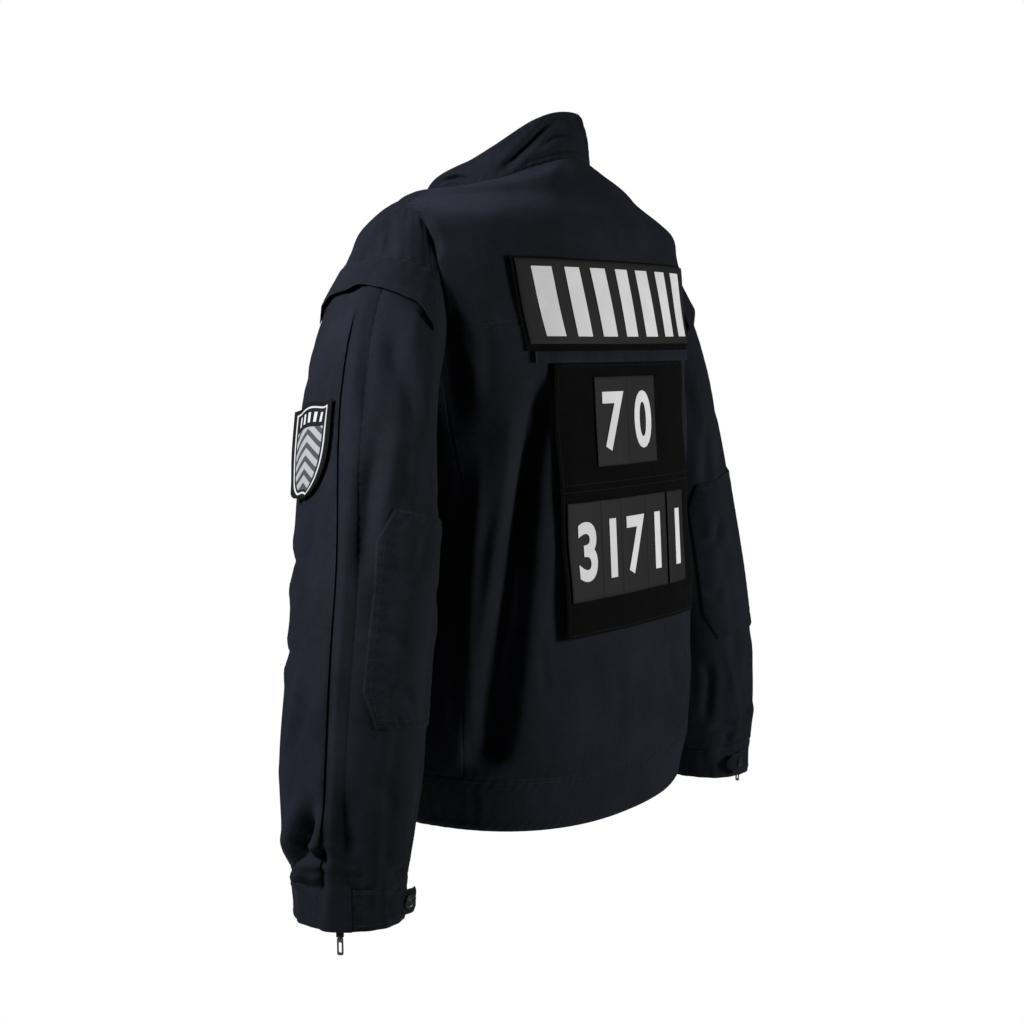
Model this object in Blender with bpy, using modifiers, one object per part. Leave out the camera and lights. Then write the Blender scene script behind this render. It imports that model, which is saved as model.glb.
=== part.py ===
"""Duty jacket in its worn, hollow shape: every piece that a maker cuts and sews on is its own closed solid.

Metres, +Z up. The front faces -Y, the wearer's left is +X, and the origin is the middle of the neck opening
at the height of the top of the shoulders.
"""
import math

import bmesh
import bpy
import numpy as np
from mathutils import Matrix, Vector

CLOTH = 0.0016          # outer cloth with its backing
DOUBLE = 0.0024         # collar, waistband and cuffs are two layers of cloth
TAPE = 0.0012           # zip tape
GAP = 0.0003            # between neighbouring pieces
SEAM = 0.0002           # each side of a seam gives up this much along the surface
SEAM_TURN = 0.06        # the same for seams that run down the body, in degrees of its turn

NECK = -0.018           # nominal height of the neck seam at the side
YOKE_RISE = 0.020       # the yoke seam at centre back lies this much above its ends
WAIST = -0.578          # seam between body and waistband
HEM = -0.632            # lower edge of the waistband at the sides

# The body's level sections, from the neck down
# height, half width, back depth, front depth, middle, squareness, back lift, front lift
BODY = np.array([
    [NECK,   0.088, 0.078, 0.080, 0.000, 2.00, 0.032, -0.058],
    [-0.022, 0.135, 0.084, 0.092, 0.004, 2.00, 0.024, -0.058],
    [-0.034, 0.185, 0.089, 0.106, 0.013, 2.00, 0.010, -0.054],
    [-0.052, 0.226, 0.096, 0.122, 0.024, 2.10, 0.003, -0.046],
    [-0.080, 0.237, 0.107, 0.125, 0.020, 2.20, -0.003, -0.030],
    [-0.120, 0.240, 0.121, 0.138, 0.012, 2.30, -0.003, -0.014],
    [-0.180, 0.236, 0.134, 0.145, 0.005, 2.50, -0.002, -0.004],
    [-0.250, 0.224, 0.142, 0.148, 0.001, 2.70, 0.000, 0.000],
    [-0.310, 0.213, 0.147, 0.151, 0.000, 2.80, 0.000, 0.000],
    [-0.400, 0.217, 0.152, 0.154, 0.000, 2.80, -0.004, 0.000],
    [-0.500, 0.224, 0.156, 0.155, 0.000, 2.70, -0.009, -0.002],
    [WAIST,  0.222, 0.155, 0.150, 0.000, 2.60, -0.015, -0.004],
    [HEM,    0.208, 0.146, 0.140, 0.000, 2.60, -0.015, -0.004],
])

# Armhole on the body: angle and height of its middle, and half of its spread in each
HOLE_ANGLE, HOLE_HEIGHT = 88.0, -0.150
HOLE_HALF_ANGLE, HOLE_HALF_HEIGHT = 27.0, 0.104
# Angles round the armhole, from its top, where every piece that meets there has a corner
RIM = (0, 14, 28, 42, 56, 70, 84, 98, 112, 126, 140, 160, 180)
YOKE_STOP, BACK_STOP, FRONT_STOP = 98, 112, 126     # where the yoke, side-back and side-front seams meet it
LOW_ROWS = 10           # rows of corners between the armhole and the waist, the same on every panel
SIDE_SWING = 3.0        # degrees that the side-back seam swings towards the back below the armhole

# The sleeve's rings, from the armhole down; the arm hangs a little bent
# station, outer x, outer z, inner x, inner z, middle y, half depth, squareness
SLEEVE = np.array([
    [1.0, 0.277, -0.120, 0.2255, -0.268, 0.018, 0.071, 2.0],
    [2.0, 0.294, -0.175, 0.2265, -0.281, 0.019, 0.071, 2.0],
    [3.0, 0.313, -0.235, 0.2270, -0.299, 0.023, 0.071, 2.1],
    [4.0, 0.333, -0.300, 0.2295, -0.330, 0.030, 0.069, 2.1],
    [5.0, 0.353, -0.380, 0.2400, -0.398, 0.038, 0.067, 2.1],
    [6.0, 0.376, -0.470, 0.2570, -0.486, 0.044, 0.065, 2.1],
    [7.0, 0.390, -0.550, 0.2690, -0.562, 0.048, 0.0635, 2.1],
    [8.0, 0.392, -0.610, 0.2800, -0.618, 0.050, 0.059, 2.1],
    [9.0, 0.389, -0.645, 0.2880, -0.649, 0.052, 0.053, 2.1],
    [10.0, 0.387, -0.683, 0.2930, -0.685, 0.053, 0.051, 2.1],
])
HEAD = 2.0              # above this station the sleeve flows out of the armhole
PUFF = 0.30             # how far the sleeve head leaves the armhole sideways
CUFF = 9.0              # station of the cuff seam
SLEEVE_END = 10.0
SLEEVE_ROWS = 16
CAP_HALF, CAP_DEEP = 70.0, 0.72         # shoulder cap: half its spread in degrees, its depth in stations
FLAP_DEEP = 0.60                        # overlap flap below the cap seam, in stations
FLAP_BACK, FLAP_FRONT = 14.0, 6.0       # how much further round its lower corners reach, in degrees
ELBOW_BACK, ELBOW_SIDE, ELBOW_CHAMFER = 41.0, 142.0, 13.0     # the elbow patch's ring angles
ELBOW_TOP, ELBOW_FOOT = 4.15, 6.38                            # and its stations
BADGE_RING, BADGE_HALF, BADGE_TOP, BADGE_FOOT = -28.0, 25.0, 2.80, 4.14
UNDER_BADGE = 0.0008        # the stiff badge stands off at its sides, most at the front
BADGE_OFF_FRONT, BADGE_OFF_BACK = 0.0065, 0.0020
BADGE_SHOULDER = 0.35                   # share of the badge's height where its sides start to round in
ZIP_SLOT = 0.0040                       # half the slot that a sleeve zip fills
# station, then how far back from the outer side lie the placket's free edge, the zip and the placket's seam
ZIP_LINE = np.array([
    [0.5, 4.0, 12.0, 22.0],
    [3.5, 6.0, 14.0, 25.0],
    [5.0, 13.0, 21.0, 32.0],
    [8.0, 17.0, 25.0, 37.0],
    [9.0, 10.0, 26.0, 39.0],
    [10.0, 0.0, 26.0, 39.0],
])

# Collar: angle from centre back, rise, lean outwards
COLLAR = np.array([
    [0.0, 0.046, -0.007],
    [40.0, 0.045, -0.006],
    [70.0, 0.034, -0.003],
    [100.0, 0.021, 0.001],
    [130.0, 0.025, 0.008],
    [165.0, 0.034, 0.014],
])

# Folds pressed into the back, left and right: x and z at the top and at the foot, half width, depth and
# the ridge beside
FOLDS = np.array([
    [0.128, -0.192, 0.183, -0.580, 0.0135, 0.020, 0.22],
    [-0.131, -0.200, -0.172, -0.580, 0.0135, 0.014, 0.20],
])
FOLD_BEND = 0.85        # how soon a fold swings out on its way down
FOLD_LIMIT = 59.0       # the turn by which the folds have come to nothing
FOLD_STOPS = (-1.9, -1.2, -0.6, 0.0, 0.6, 1.2, 1.9)     # corners across a fold, in its half widths

# Folds round a sleeve: station and turn of the middle, half length, half width in stations, slope, depth
SLEEVE_FOLDS = np.array([
    [5.20, 222.0, 50.0, 0.52, 0.008, 0.0075],
    [6.70, 236.0, 46.0, 0.50, -0.008, 0.0065],
    [8.15, 318.0, 36.0, 0.45, 0.010, 0.0055],
    [8.15, 90.0, 44.0, 0.45, -0.006, 0.0050],
])

FRONT_SLOT = 0.0076     # half the slot that the front zip fills
V_TOP = 0.028           # half the opening at the neck
V_FOOT = -0.118         # nominal height where the front zip starts to part

TAB_FROM, TAB_TO = 78.0, 128.0          # the cuff's tab, round the ring
TAB_HALF, TAB_LIFT = 0.31, 0.0060       # half its width in stations, and how far its point stands off
STUD_AT, STUD_RADIUS, STUD_THICK = 108.0, 0.0065, 0.0020

# Signs on the back: their edges as x and z
SIGN_LEFT_TOP, SIGN_LEFT_FOOT, SIGN_RIGHT = 0.160, 0.150, -0.150
SIGN_TOP, SIGN_FOOT, SIGN_STRIP_FOOT = -0.093, -0.173, -0.1795
CHANNEL_FOOT = -0.1905
CHANNEL_HALF = 0.145
PANEL_HALF, PANEL_SEAM, PANEL_FOOT = 0.125, -0.311, -0.455
PANEL_FLAT = 0.25       # how much of the back's curve the stiff panel has lost at its foot
PLATE = 0.0017
OVER_BACK = 0.0007      # clearance under what lies on the back, where its facets are long
OVER_PLATE = 0.0005     # between one plate and the next
OVER_SLEEVE = 0.0011    # clearance under what lies on a sleeve
NUMBER_TOP, NUMBER_FOOT = -0.205, -0.292
NUMBER_EDGES = (0.068, 0.012, -0.044)
ROW_TOP, ROW_FOOT = -0.325, -0.420
# left and right edge of each tile in the lower row
ROW_EDGES = ((0.119, 0.068), (0.068, 0.034), (0.034, -0.016), (-0.016, -0.056), (-0.060, -0.100))

NAVY = (0.013, 0.015, 0.022)
NAVY_DARK = (0.010, 0.011, 0.016)
LOOP_BLACK = (0.006, 0.006, 0.008)
SIGN_GREY = (0.060, 0.060, 0.064)
METAL_GREY = (0.30, 0.30, 0.31)


def power(v, n):
    """A signed power that keeps the sign of its base."""
    return np.sign(v) * np.abs(v) ** n


def smooth(t):
    """0 below 0, 1 above 1, and an even swing between."""
    t = np.clip(t, 0.0, 1.0)
    return t * t * (3.0 - 2.0 * t)


def read(table, key):
    """The table's other columns at a value of its first column, on a smooth curve through the rows."""
    rows = table if table[0, 0] < table[-1, 0] else table[::-1]
    keys, values = rows[:, 0], rows[:, 1:]
    key = np.clip(key, keys[0], keys[-1])
    i = np.clip(np.searchsorted(keys, key, side="right") - 1, 0, len(keys) - 2)
    step = (keys[i + 1] - keys[i])[..., None]
    t = (key - keys[i])[..., None] / step
    slope = np.gradient(values, keys, axis=0)
    return ((2 * t**3 - 3 * t**2 + 1) * values[i] + (t**3 - 2 * t**2 + t) * slope[i] * step
            + (3 * t**2 - 2 * t**3) * values[i + 1] + (t**3 - t**2) * slope[i + 1] * step)


def plain_body(turn, height):
    """The body without folds; turn is 0 at centre back, 90 at the left side and 180 at centre front."""
    turn, height = np.broadcast_arrays(np.asarray(turn, float), np.asarray(height, float))
    half, back, front, middle, square, back_lift, front_lift = np.moveaxis(read(BODY, height), -1, 0)
    s, c = np.sin(np.radians(turn)), np.cos(np.radians(turn))
    shrink = (np.abs(s) ** square + np.abs(c) ** square) ** (1.0 / square)
    depth, lift = np.where(c > 0, back, front), np.where(c > 0, back_lift, front_lift)
    return np.stack([half * s / shrink, middle + depth * c / shrink, height + lift * c * c], -1)


def body(turn, height):
    """The body with the folds of its back."""
    point = plain_body(turn, height)
    x, y, z = np.moveaxis(point, -1, 0)
    out = point * (1.0, 1.0, 0.0)
    out = out / np.linalg.norm(out, axis=-1, keepdims=True)
    push = np.zeros_like(x)
    for x_top, z_top, x_foot, z_foot, wide, deep, ridge in FOLDS:
        along = (z_top - z) / (z_top - z_foot)
        fade = smooth(along / 0.12) * smooth((1.0 - along) / 0.10)
        across = (x - x_top - (x_foot - x_top) * np.clip(along, 0, 1) ** FOLD_BEND) / wide * np.sign(x_top)
        push -= fade * deep * (np.exp(-across**2) - ridge * np.exp(-(across - 2.0) ** 2))
    side = smooth((FOLD_LIMIT - np.abs(turn)) / 5.0)
    return point + out * (push * side)[..., None]


def armhole(ring, grow=0.0):
    """Angle and height on the armhole; ring is 0 at its top, 90 at the back and 180 underneath."""
    t = np.radians(ring)
    bigger = 1.0 + grow / HOLE_HALF_HEIGHT
    return (HOLE_ANGLE - HOLE_HALF_ANGLE * bigger * np.sin(t),
            HOLE_HEIGHT + HOLE_HALF_HEIGHT * bigger * np.cos(t))


def hole_spread(height, grow=SEAM):
    """Half the armhole's angle at a height, 0 above and below it."""
    bigger = 1.0 + grow / HOLE_HALF_HEIGHT
    rise = (height - HOLE_HEIGHT) / (HOLE_HALF_HEIGHT * bigger)
    return HOLE_HALF_ANGLE * bigger * np.sqrt(np.clip(1.0 - rise**2, 0.0, 1.0))


def ring_point(ring, station):
    """A point of the sleeve's rings."""
    outer_x, outer_z, inner_x, inner_z, y, half, square = np.moveaxis(read(SLEEVE, station), -1, 0)
    t = np.radians(ring)
    c, s = power(np.cos(t), 2.0 / square), power(np.sin(t), 2.0 / square)
    return np.stack([(outer_x + inner_x) / 2 + (outer_x - inner_x) / 2 * c, y + half * s,
                     (outer_z + inner_z) / 2 + (outer_z - inner_z) / 2 * c], -1)


def plain_sleeve(ring, station):
    """The left sleeve without folds, from the armhole at station 0 to the cuff's edge."""
    ring, station = np.broadcast_arrays(np.asarray(ring, float), np.asarray(station, float))
    below = ring_point(ring, np.maximum(station, HEAD))
    start = plain_body(*armhole(ring, -SEAM))
    end = ring_point(ring, np.full_like(ring, HEAD))
    arrive = (ring_point(ring, np.full_like(ring, HEAD + 0.5)) - end) * 2.0 * HEAD
    leave = end - start
    leave = leave + PUFF * np.linalg.norm(leave, axis=-1, keepdims=True) * (1.0, 0.0, 0.0)
    t = np.clip(station / HEAD, 0.0, 1.0)[..., None]
    above = ((2 * t**3 - 3 * t**2 + 1) * start + (t**3 - 2 * t**2 + t) * leave
             + (3 * t**2 - 2 * t**3) * end + (t**3 - t**2) * arrive)
    return np.where((station < HEAD)[..., None], above, below)


def sleeve(ring, station):
    """The left sleeve with its folds."""
    point = plain_sleeve(ring, station)
    middle = (ring_point(np.zeros_like(station), np.maximum(station, HEAD))
              + ring_point(np.full_like(station, 180.0), np.maximum(station, HEAD))) / 2
    out = point - middle
    out = out / np.maximum(np.linalg.norm(out, axis=-1, keepdims=True), 1e-6)
    push = np.zeros(point.shape[:-1])
    for at, turn, long, wide, slope, deep in SLEEVE_FOLDS:
        around = (np.asarray(ring) - turn + 180.0) % 360.0 - 180.0
        across = (station - at - slope * around) / wide
        push -= deep * np.exp(-across**2) * smooth(1.0 - np.abs(around) / long)
    return point + out * push[..., None]


def collar(turn, rise):
    """The collar; rise is 0 at the neck seam and 1 at its upper edge."""
    base = plain_body(turn, np.full_like(turn, NECK))
    out = base * (1.0, 1.0, 0.0)
    out = out / np.linalg.norm(out, axis=-1, keepdims=True)
    high, lean = np.moveaxis(read(COLLAR, np.abs(turn)), -1, 0)
    up = GAP + rise * high
    sideways = rise**2 * lean - 1.5 * GAP
    return base + up[..., None] * np.array((0.0, 0.0, 1.0)) + sideways[..., None] * out


def back_turn(x, height):
    """The turn on the body's back where its half width is cut at x."""
    half, _, _, _, square, _, _ = np.moveaxis(read(BODY, height), -1, 0)
    share = np.clip(x / half, -0.999, 0.999)
    return np.degrees(np.arctan2(share, (1.0 - np.abs(share) ** square) ** (1.0 / square)))


def back_plate(x, z):
    """A smooth surface over the back for what is sewn or stuck on it, flatter towards its foot."""
    height = z
    for _ in range(3):
        lift = read(BODY, height)[..., 5]
        height = z - lift * np.cos(np.radians(back_turn(x, height))) ** 2
    half, deep, _, middle, square, _, _ = np.moveaxis(read(BODY, height), -1, 0)
    rim = (1.0 - np.abs(x / half) ** square) ** (1.0 / square)
    flat = PANEL_FLAT * smooth((CHANNEL_FOOT - z) / (CHANNEL_FOOT - PANEL_FOOT))
    return np.stack([x, middle + deep * (rim + (1.0 - rim) * flat), z], -1)


LENGTHS = np.linspace(NECK, HEM, 400)
SIDE_LINE = plain_body(np.full(400, 70.0), LENGTHS)
RUN = np.concatenate([[0.0], np.cumsum(np.linalg.norm(np.diff(SIDE_LINE, axis=0), axis=1))])


def level(q, top, foot):
    """Heights from top to foot, spaced evenly along the cloth."""
    a, b = np.interp(-top, -LENGTHS, RUN), np.interp(-foot, -LENGTHS, RUN)
    return -np.interp(a + (b - a) * q, RUN, -LENGTHS)


def front_edge(height):
    """Half the distance between the fronts: the zip's slot, and the opening at the neck above it."""
    return FRONT_SLOT + (V_TOP - FRONT_SLOT) * smooth((height - V_FOOT) / (NECK - V_FOOT))


def front_turn(height, aside=0.0):
    """The turn of a line on the front that lies front_edge, and a little aside, from its middle."""
    half = read(BODY, height)[..., 0]
    return 180.0 - np.degrees(np.arctan((front_edge(height) + aside) / half))


def cap_station(ring):
    """Station of the seam under the shoulder cap; it comes to nothing where the cap meets the armhole."""
    ring = (np.asarray(ring) + 180.0) % 360.0 - 180.0
    inside = np.abs(ring) <= CAP_HALF + 0.01
    swell = np.clip(np.cos(np.radians(ring * 90.0 / (CAP_HALF + 1.0))), 0.0, 1.0) ** 0.75
    return np.where(inside, CAP_DEEP * swell, 0.0)


def rim_height(stop):
    """Height of a corner of the armhole, on the body's side of the seam."""
    return armhole(np.asarray(stop, float), SEAM)[1]


def side_back(height):
    """Turn of the side-back seam, which leaves the armhole and swings a little towards the back."""
    return armhole(BACK_STOP, SEAM)[0] - SIDE_SWING * smooth((rim_height(BACK_STOP) - height) / 0.16)


def front_rows():
    """Heights of the corners down a front, from the neck past the armhole to the waist."""
    top = level(np.array([0.0, 0.35, 0.68]), NECK, rim_height(0))
    hole = [rim_height(stop) for stop in stops_down(0, FRONT_STOP)]
    low = level(np.linspace(0.0, 1.0, LOW_ROWS + 1), rim_height(FRONT_STOP), WAIST + SEAM)
    return [*top, *hole, *low[1:]]


def at_stops(t, stops):
    """A value from a list of stops, evenly spread over t from 0 to 1."""
    return np.interp(t, np.linspace(0.0, 1.0, len(stops)), stops)


def stops_down(first, last):
    """The armhole's corners from one to another."""
    return [stop for stop in RIM if first <= stop <= last]


def zip_slot(station):
    """Half the zip's slot as an angle of the sleeve's ring."""
    return np.degrees(ZIP_SLOT / read(SLEEVE, station)[..., 5])


def with_offset(surface, u, v, offset):
    """Points of a surface moved out along its normal."""
    across = surface(u + 0.001, v) - surface(u - 0.001, v)
    down = surface(u, v + 0.00001) - surface(u, v - 0.00001)
    normal = np.cross(down, across)
    normal /= np.linalg.norm(normal, axis=-1, keepdims=True)
    return surface(u, v) + normal * offset[..., None]


LOOKS = {}


def look(name, colour, rough, metal=0.0):
    """A Principled material, made once."""
    if name not in LOOKS:
        material = bpy.data.materials.new(name)
        material.use_nodes = True
        shader = material.node_tree.nodes["Principled BSDF"]
        shader.inputs["Base Color"].default_value = (*colour, 1.0)
        shader.inputs["Roughness"].default_value = rough
        shader.inputs["Metallic"].default_value = metal
        LOOKS[name] = material
    return LOOKS[name]


def add_object(name, mesh, material):
    """One named sub-part in the jacket's collection."""
    item = bpy.data.objects.new(name, mesh)
    item.data.materials.append(material)
    jacket.objects.link(item)
    return item


def slab(name, material, surface, span, columns, rows, inner, outer, side=1):
    """A piece of cloth: a grid extruded to a wall, then laid on a surface between two offsets.

    span turns the grid's p and q, each 0 to 1, into the surface's own two values. inner and outer are
    offsets along the surface's normal, a number or a function of p and q. side -1 mirrors the piece.
    """
    shell = bmesh.new()
    bmesh.ops.create_grid(shell, x_segments=columns, y_segments=rows, size=0.5)
    raised = bmesh.ops.extrude_face_region(shell, geom=shell.faces[:])
    for corner in raised["geom"]:
        if isinstance(corner, bmesh.types.BMVert):
            corner.co.z = 1.0
    grid = np.array([corner.co[:] for corner in shell.verts])
    p, q = grid[:, 0] + 0.5, grid[:, 1] + 0.5
    offsets = [edge(p, q) if callable(edge) else np.full_like(p, edge) for edge in (inner, outer)]
    offset = np.where(grid[:, 2] > 0.5, offsets[1], offsets[0])
    points = with_offset(surface, *span(p, q), offset)
    points[:, 0] *= side
    for corner, point in zip(shell.verts, points):
        corner.co = point
    bmesh.ops.recalc_face_normals(shell, faces=shell.faces[:])
    if shell.calc_volume(signed=True) < 0.0:
        bmesh.ops.reverse_faces(shell, faces=shell.faces[:])
    mesh = bpy.data.meshes.new(name)
    shell.to_mesh(mesh)
    shell.free()
    mesh.shade_smooth()
    mesh.set_sharp_from_angle(angle=math.radians(40))
    return add_object(name, mesh, material)


def between(low, high, t):
    return low + (high - low) * t


def make_back():
    """Yoke, back panel and the side panels between the back's and the front's seams."""
    cloth = look("navy cloth", NAVY, 0.85)
    top_rows = list(level(np.array([0.0, 0.35, 0.68]), NECK, rim_height(0)))
    yoke_rows = top_rows + [rim_height(stop) for stop in stops_down(0, YOKE_STOP)]
    yoke_rows[-1] += SEAM
    low_rows = level(np.linspace(0.0, 1.0, LOW_ROWS + 1), rim_height(BACK_STOP), WAIST + SEAM)
    panel_rows = [rim_height(YOKE_STOP) - SEAM] + list(low_rows)

    def yoke(p, q):
        height = at_stops(q, yoke_rows)
        half = HOLE_ANGLE - SEAM_TURN - hole_spread(height)
        turn = between(-half, half, p)
        return turn, height + YOKE_RISE * q**2 * (1.0 - (turn / half) ** 2)

    def panel_columns(height):
        """Columns gather where the folds are: outside, across and between them."""
        above = height > rim_height(BACK_STOP)
        half = np.where(above, HOLE_ANGLE - hole_spread(height), side_back(height)) - SEAM_TURN
        along = np.clip((FOLDS[:, 1, None] - height) / (FOLDS[:, 1] - FOLDS[:, 3])[:, None], 0.0, 1.0)
        lines = FOLDS[:, 0, None] + (FOLDS[:, 2] - FOLDS[:, 0])[:, None] * along**FOLD_BEND
        left = [back_turn(lines[0] + stop * FOLDS[0, 4], height) for stop in FOLD_STOPS]
        right = [back_turn(lines[1] - stop * FOLDS[1, 4], height) for stop in FOLD_STOPS[::-1]]
        left = [np.minimum(turn, half * 0.97) for turn in left]
        right = [np.maximum(turn, -half * 0.97) for turn in right]
        inner = [between(right[-1], left[0], share) for share in np.linspace(0.0, 1.0, 8)[1:-1]]
        return [-half, (right[0] - half) / 2, *right, *inner, *left, (left[-1] + half) / 2, half]

    def panel(p, q):
        height = at_stops(q, panel_rows)
        columns = np.stack(panel_columns(height))
        column = np.rint(p * (len(columns) - 1)).astype(int)
        turn = columns[column, np.arange(len(p))]
        half = columns[-1]
        return turn, height + YOKE_RISE * (1.0 - q) ** 8 * (1.0 - (turn / half) ** 2)

    def side_panel(p, q):
        stops = [*stops_down(BACK_STOP, 180), *(360 - stop for stop in stops_down(FRONT_STOP, 179)[::-1])]
        turn, top = armhole(at_stops(p, stops), SEAM)
        height = level(q, top, WAIST + SEAM)
        turn = turn + (side_back(height) - side_back(top)) * (1.0 - p)
        return turn + SEAM_TURN * (1.0 - 2.0 * p), height

    slab("back_yoke", cloth, body, yoke, 16, len(yoke_rows) - 1, -CLOTH, 0.0)
    slab("back_panel", cloth, body, panel, 25, len(panel_rows) - 1, -CLOTH, 0.0)
    for side, word in ((1, "left"), (-1, "right")):
        slab(f"side_panel_{word}", cloth, plain_body, side_panel, 7, LOW_ROWS, -CLOTH, 0.0, side)


def make_fronts():
    """The two plain fronts, each from the shoulder seam to the waist."""
    cloth = look("navy cloth", NAVY, 0.85)
    rows = front_rows()
    side_front = armhole(360 - FRONT_STOP, SEAM)[0]

    def front(p, q):
        height = at_stops(q, rows)
        low = np.where(height < rim_height(FRONT_STOP), side_front, HOLE_ANGLE + hole_spread(height))
        return between(low + SEAM_TURN, front_turn(height), p), height

    for side, word in ((1, "left"), (-1, "right")):
        slab(f"front_{word}", cloth, plain_body, front, 7, len(rows) - 1, -CLOTH, 0.0, side)


def make_collar_and_waistband():
    """Stand collar, open at the front, and the waistband with its gathered sides."""
    cloth = look("navy cloth", NAVY, 0.85)

    def collar_span(p, q):
        end = front_turn(np.array([NECK]))[0] - 0.5
        return between(-end, end, p), q

    def band_span(p, q):
        height = between(WAIST - SEAM, HEM, q)
        end = front_turn(height)
        return between(-end, end, p), height

    def gathers(p, q):
        turn = np.abs(p - 0.5) * 360.0
        where = smooth((turn - 62.0) / 12.0) * smooth((128.0 - turn) / 12.0)
        return 0.0015 * where * np.cos(turn * 0.9) * np.sin(np.pi * q)

    slab("collar", cloth, collar, collar_span, 30, 3, -DOUBLE, 0.0)
    slab("waistband", cloth, plain_body, band_span, 52, 3,
         lambda p, q: gathers(p, q) - DOUBLE, gathers)


def tab_surface(ring, station):
    """The cuff tab's underside: it lies on the cuff and lifts off towards its point."""
    lift = OVER_SLEEVE + TAB_LIFT * smooth((np.asarray(ring) - TAB_FROM - 18.0) / 26.0)
    return with_offset(sleeve, ring, station, lift)


def make_sleeve(side, word):
    """Shoulder cap, overlap flap, both halves of the sleeve, elbow patch, placket, cuff and its tab."""
    cloth = look("navy cloth", NAVY, 0.85)
    under = 0.2         # degrees that each half gives up at the underarm seam
    back_stops = [*(stop for stop in RIM if 28 <= stop < 180), 180 - under]
    front_stops = [180 + under, *(360 - stop for stop in RIM[-2:0:-1])]
    cap_stops = [*(-stop for stop in RIM[5:0:-1]), *RIM[:6]]

    def zip_side(station, direction):
        return read(ZIP_LINE, station)[..., 1] + direction * zip_slot(station)

    def half_span(stops, zip_column, direction):
        """A sleeve half: ring angles from the armhole's corners, and the zip's edge for one column."""
        def span(p, q):
            turn = at_stops(p, stops)
            top = cap_station(np.where(zip_column(p), zip_side(CAP_DEEP, direction), turn)) + 0.004
            station = between(top, CUFF - 0.008, q)
            edge = zip_side(station, direction)
            if direction < 0:
                edge = edge + 360.0
            turn = between(turn, edge, np.where(zip_column(p), 1.0, 0.0))
            return turn, station
        return span

    def cap(p, q):
        ring = at_stops(p, cap_stops)
        return ring, between(0.003, cap_station(ring) - 0.004, q)

    def flap(p, q):
        ring = between(-CAP_HALF + 4.0, CAP_HALF - 4.0, p)
        top = cap_station(ring) + 0.01
        deep = FLAP_DEEP * between(0.72, 1.0, ((ring - 5.0) / CAP_HALF) ** 2)
        back, front = np.maximum(2 * p - 1, 0.0) ** 3, np.maximum(1 - 2 * p, 0.0) ** 3
        return ring + q * (FLAP_BACK * back - FLAP_FRONT * front), top + q * deep

    def elbow(p, q):
        corner = np.abs(2 * q - 1) ** 3 * ELBOW_CHAMFER
        return between(ELBOW_BACK + corner, ELBOW_SIDE - corner, p), between(ELBOW_TOP, ELBOW_FOOT, q)

    def placket(p, q):
        station = between(cap_station(12.0) + 0.25, SLEEVE_END, q)
        line = read(ZIP_LINE, station)
        return between(line[..., 0], line[..., 2], p), station

    def zip_tape(p, q):
        station = between(cap_station(12.0) + 0.02, SLEEVE_END - 0.135, q)
        half = zip_slot(station) * 0.91
        return read(ZIP_LINE, station)[..., 1] + half * (2 * p - 1), station

    def cuff(p, q):
        station = between(CUFF, SLEEVE_END, q)
        return between(zip_side(station, 1), 360.0 + zip_side(station, -1), p), station

    def tab(p, q):
        point = np.maximum(p - 0.78, 0.0) / 0.22
        half = TAB_HALF * (1.0 - 0.75 * point)
        return between(TAB_FROM, TAB_TO, p), CUFF + 0.5 + (2 * q - 1) * half

    def loose(p, q):
        return OVER_SLEEVE + 0.0040 * q + 0.0010 * q * np.sin(p * 17.0)

    slab(f"shoulder_cap_{word}", cloth, sleeve, cap, len(cap_stops) - 1, 4, -CLOTH, 0.0, side)
    slab(f"sleeve_back_{word}", cloth, sleeve, half_span([14, *back_stops], lambda p: p < 0.01, 1),
         len(back_stops), SLEEVE_ROWS, -CLOTH, 0.0, side)
    slab(f"sleeve_front_{word}", cloth, sleeve, half_span([*front_stops, 360], lambda p: p > 0.99, -1),
         len(front_stops), SLEEVE_ROWS, -CLOTH, 0.0, side)
    slab(f"overlap_flap_{word}", cloth, sleeve, flap, 14, 3, loose,
         lambda p, q: loose(p, q) + CLOTH, side)
    slab(f"elbow_patch_{word}", cloth, sleeve, elbow, 8, 8, OVER_SLEEVE, OVER_SLEEVE + CLOTH, side)
    slab(f"sleeve_placket_{word}", cloth, sleeve, placket, 2, 16, OVER_SLEEVE, OVER_SLEEVE + CLOTH, side)
    slab(f"sleeve_zip_{word}", look("zip tape", NAVY_DARK, 0.8), sleeve, zip_tape, 1, 16, -TAPE, 0.0, side)
    slab(f"cuff_{word}", cloth, sleeve, cuff, 24, 2, -DOUBLE, 0.0, side)
    slab(f"cuff_tab_{word}", cloth, tab_surface, tab, 8, 2, 0.0, CLOTH, side)


def frame_at(surface, u, v, offset, side=1):
    """Place and axes on a surface: x to the wearer's left or round the ring, z up, y out of the cloth."""
    u, v = np.array([u]), np.array([v])
    point = with_offset(surface, u, v, np.array([offset]))[0]
    out = with_offset(surface, u, v, np.array([offset + 0.01]))[0] - point
    point[0] *= side
    out[0] *= side
    out = Vector(out).normalized()
    up = (Vector((0, 0, 1)) - out * out.z).normalized()
    turn = Matrix((up.cross(out) * -1.0, out, up)).transposed().to_4x4()
    return Matrix.Translation(Vector(point)) @ turn


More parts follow.
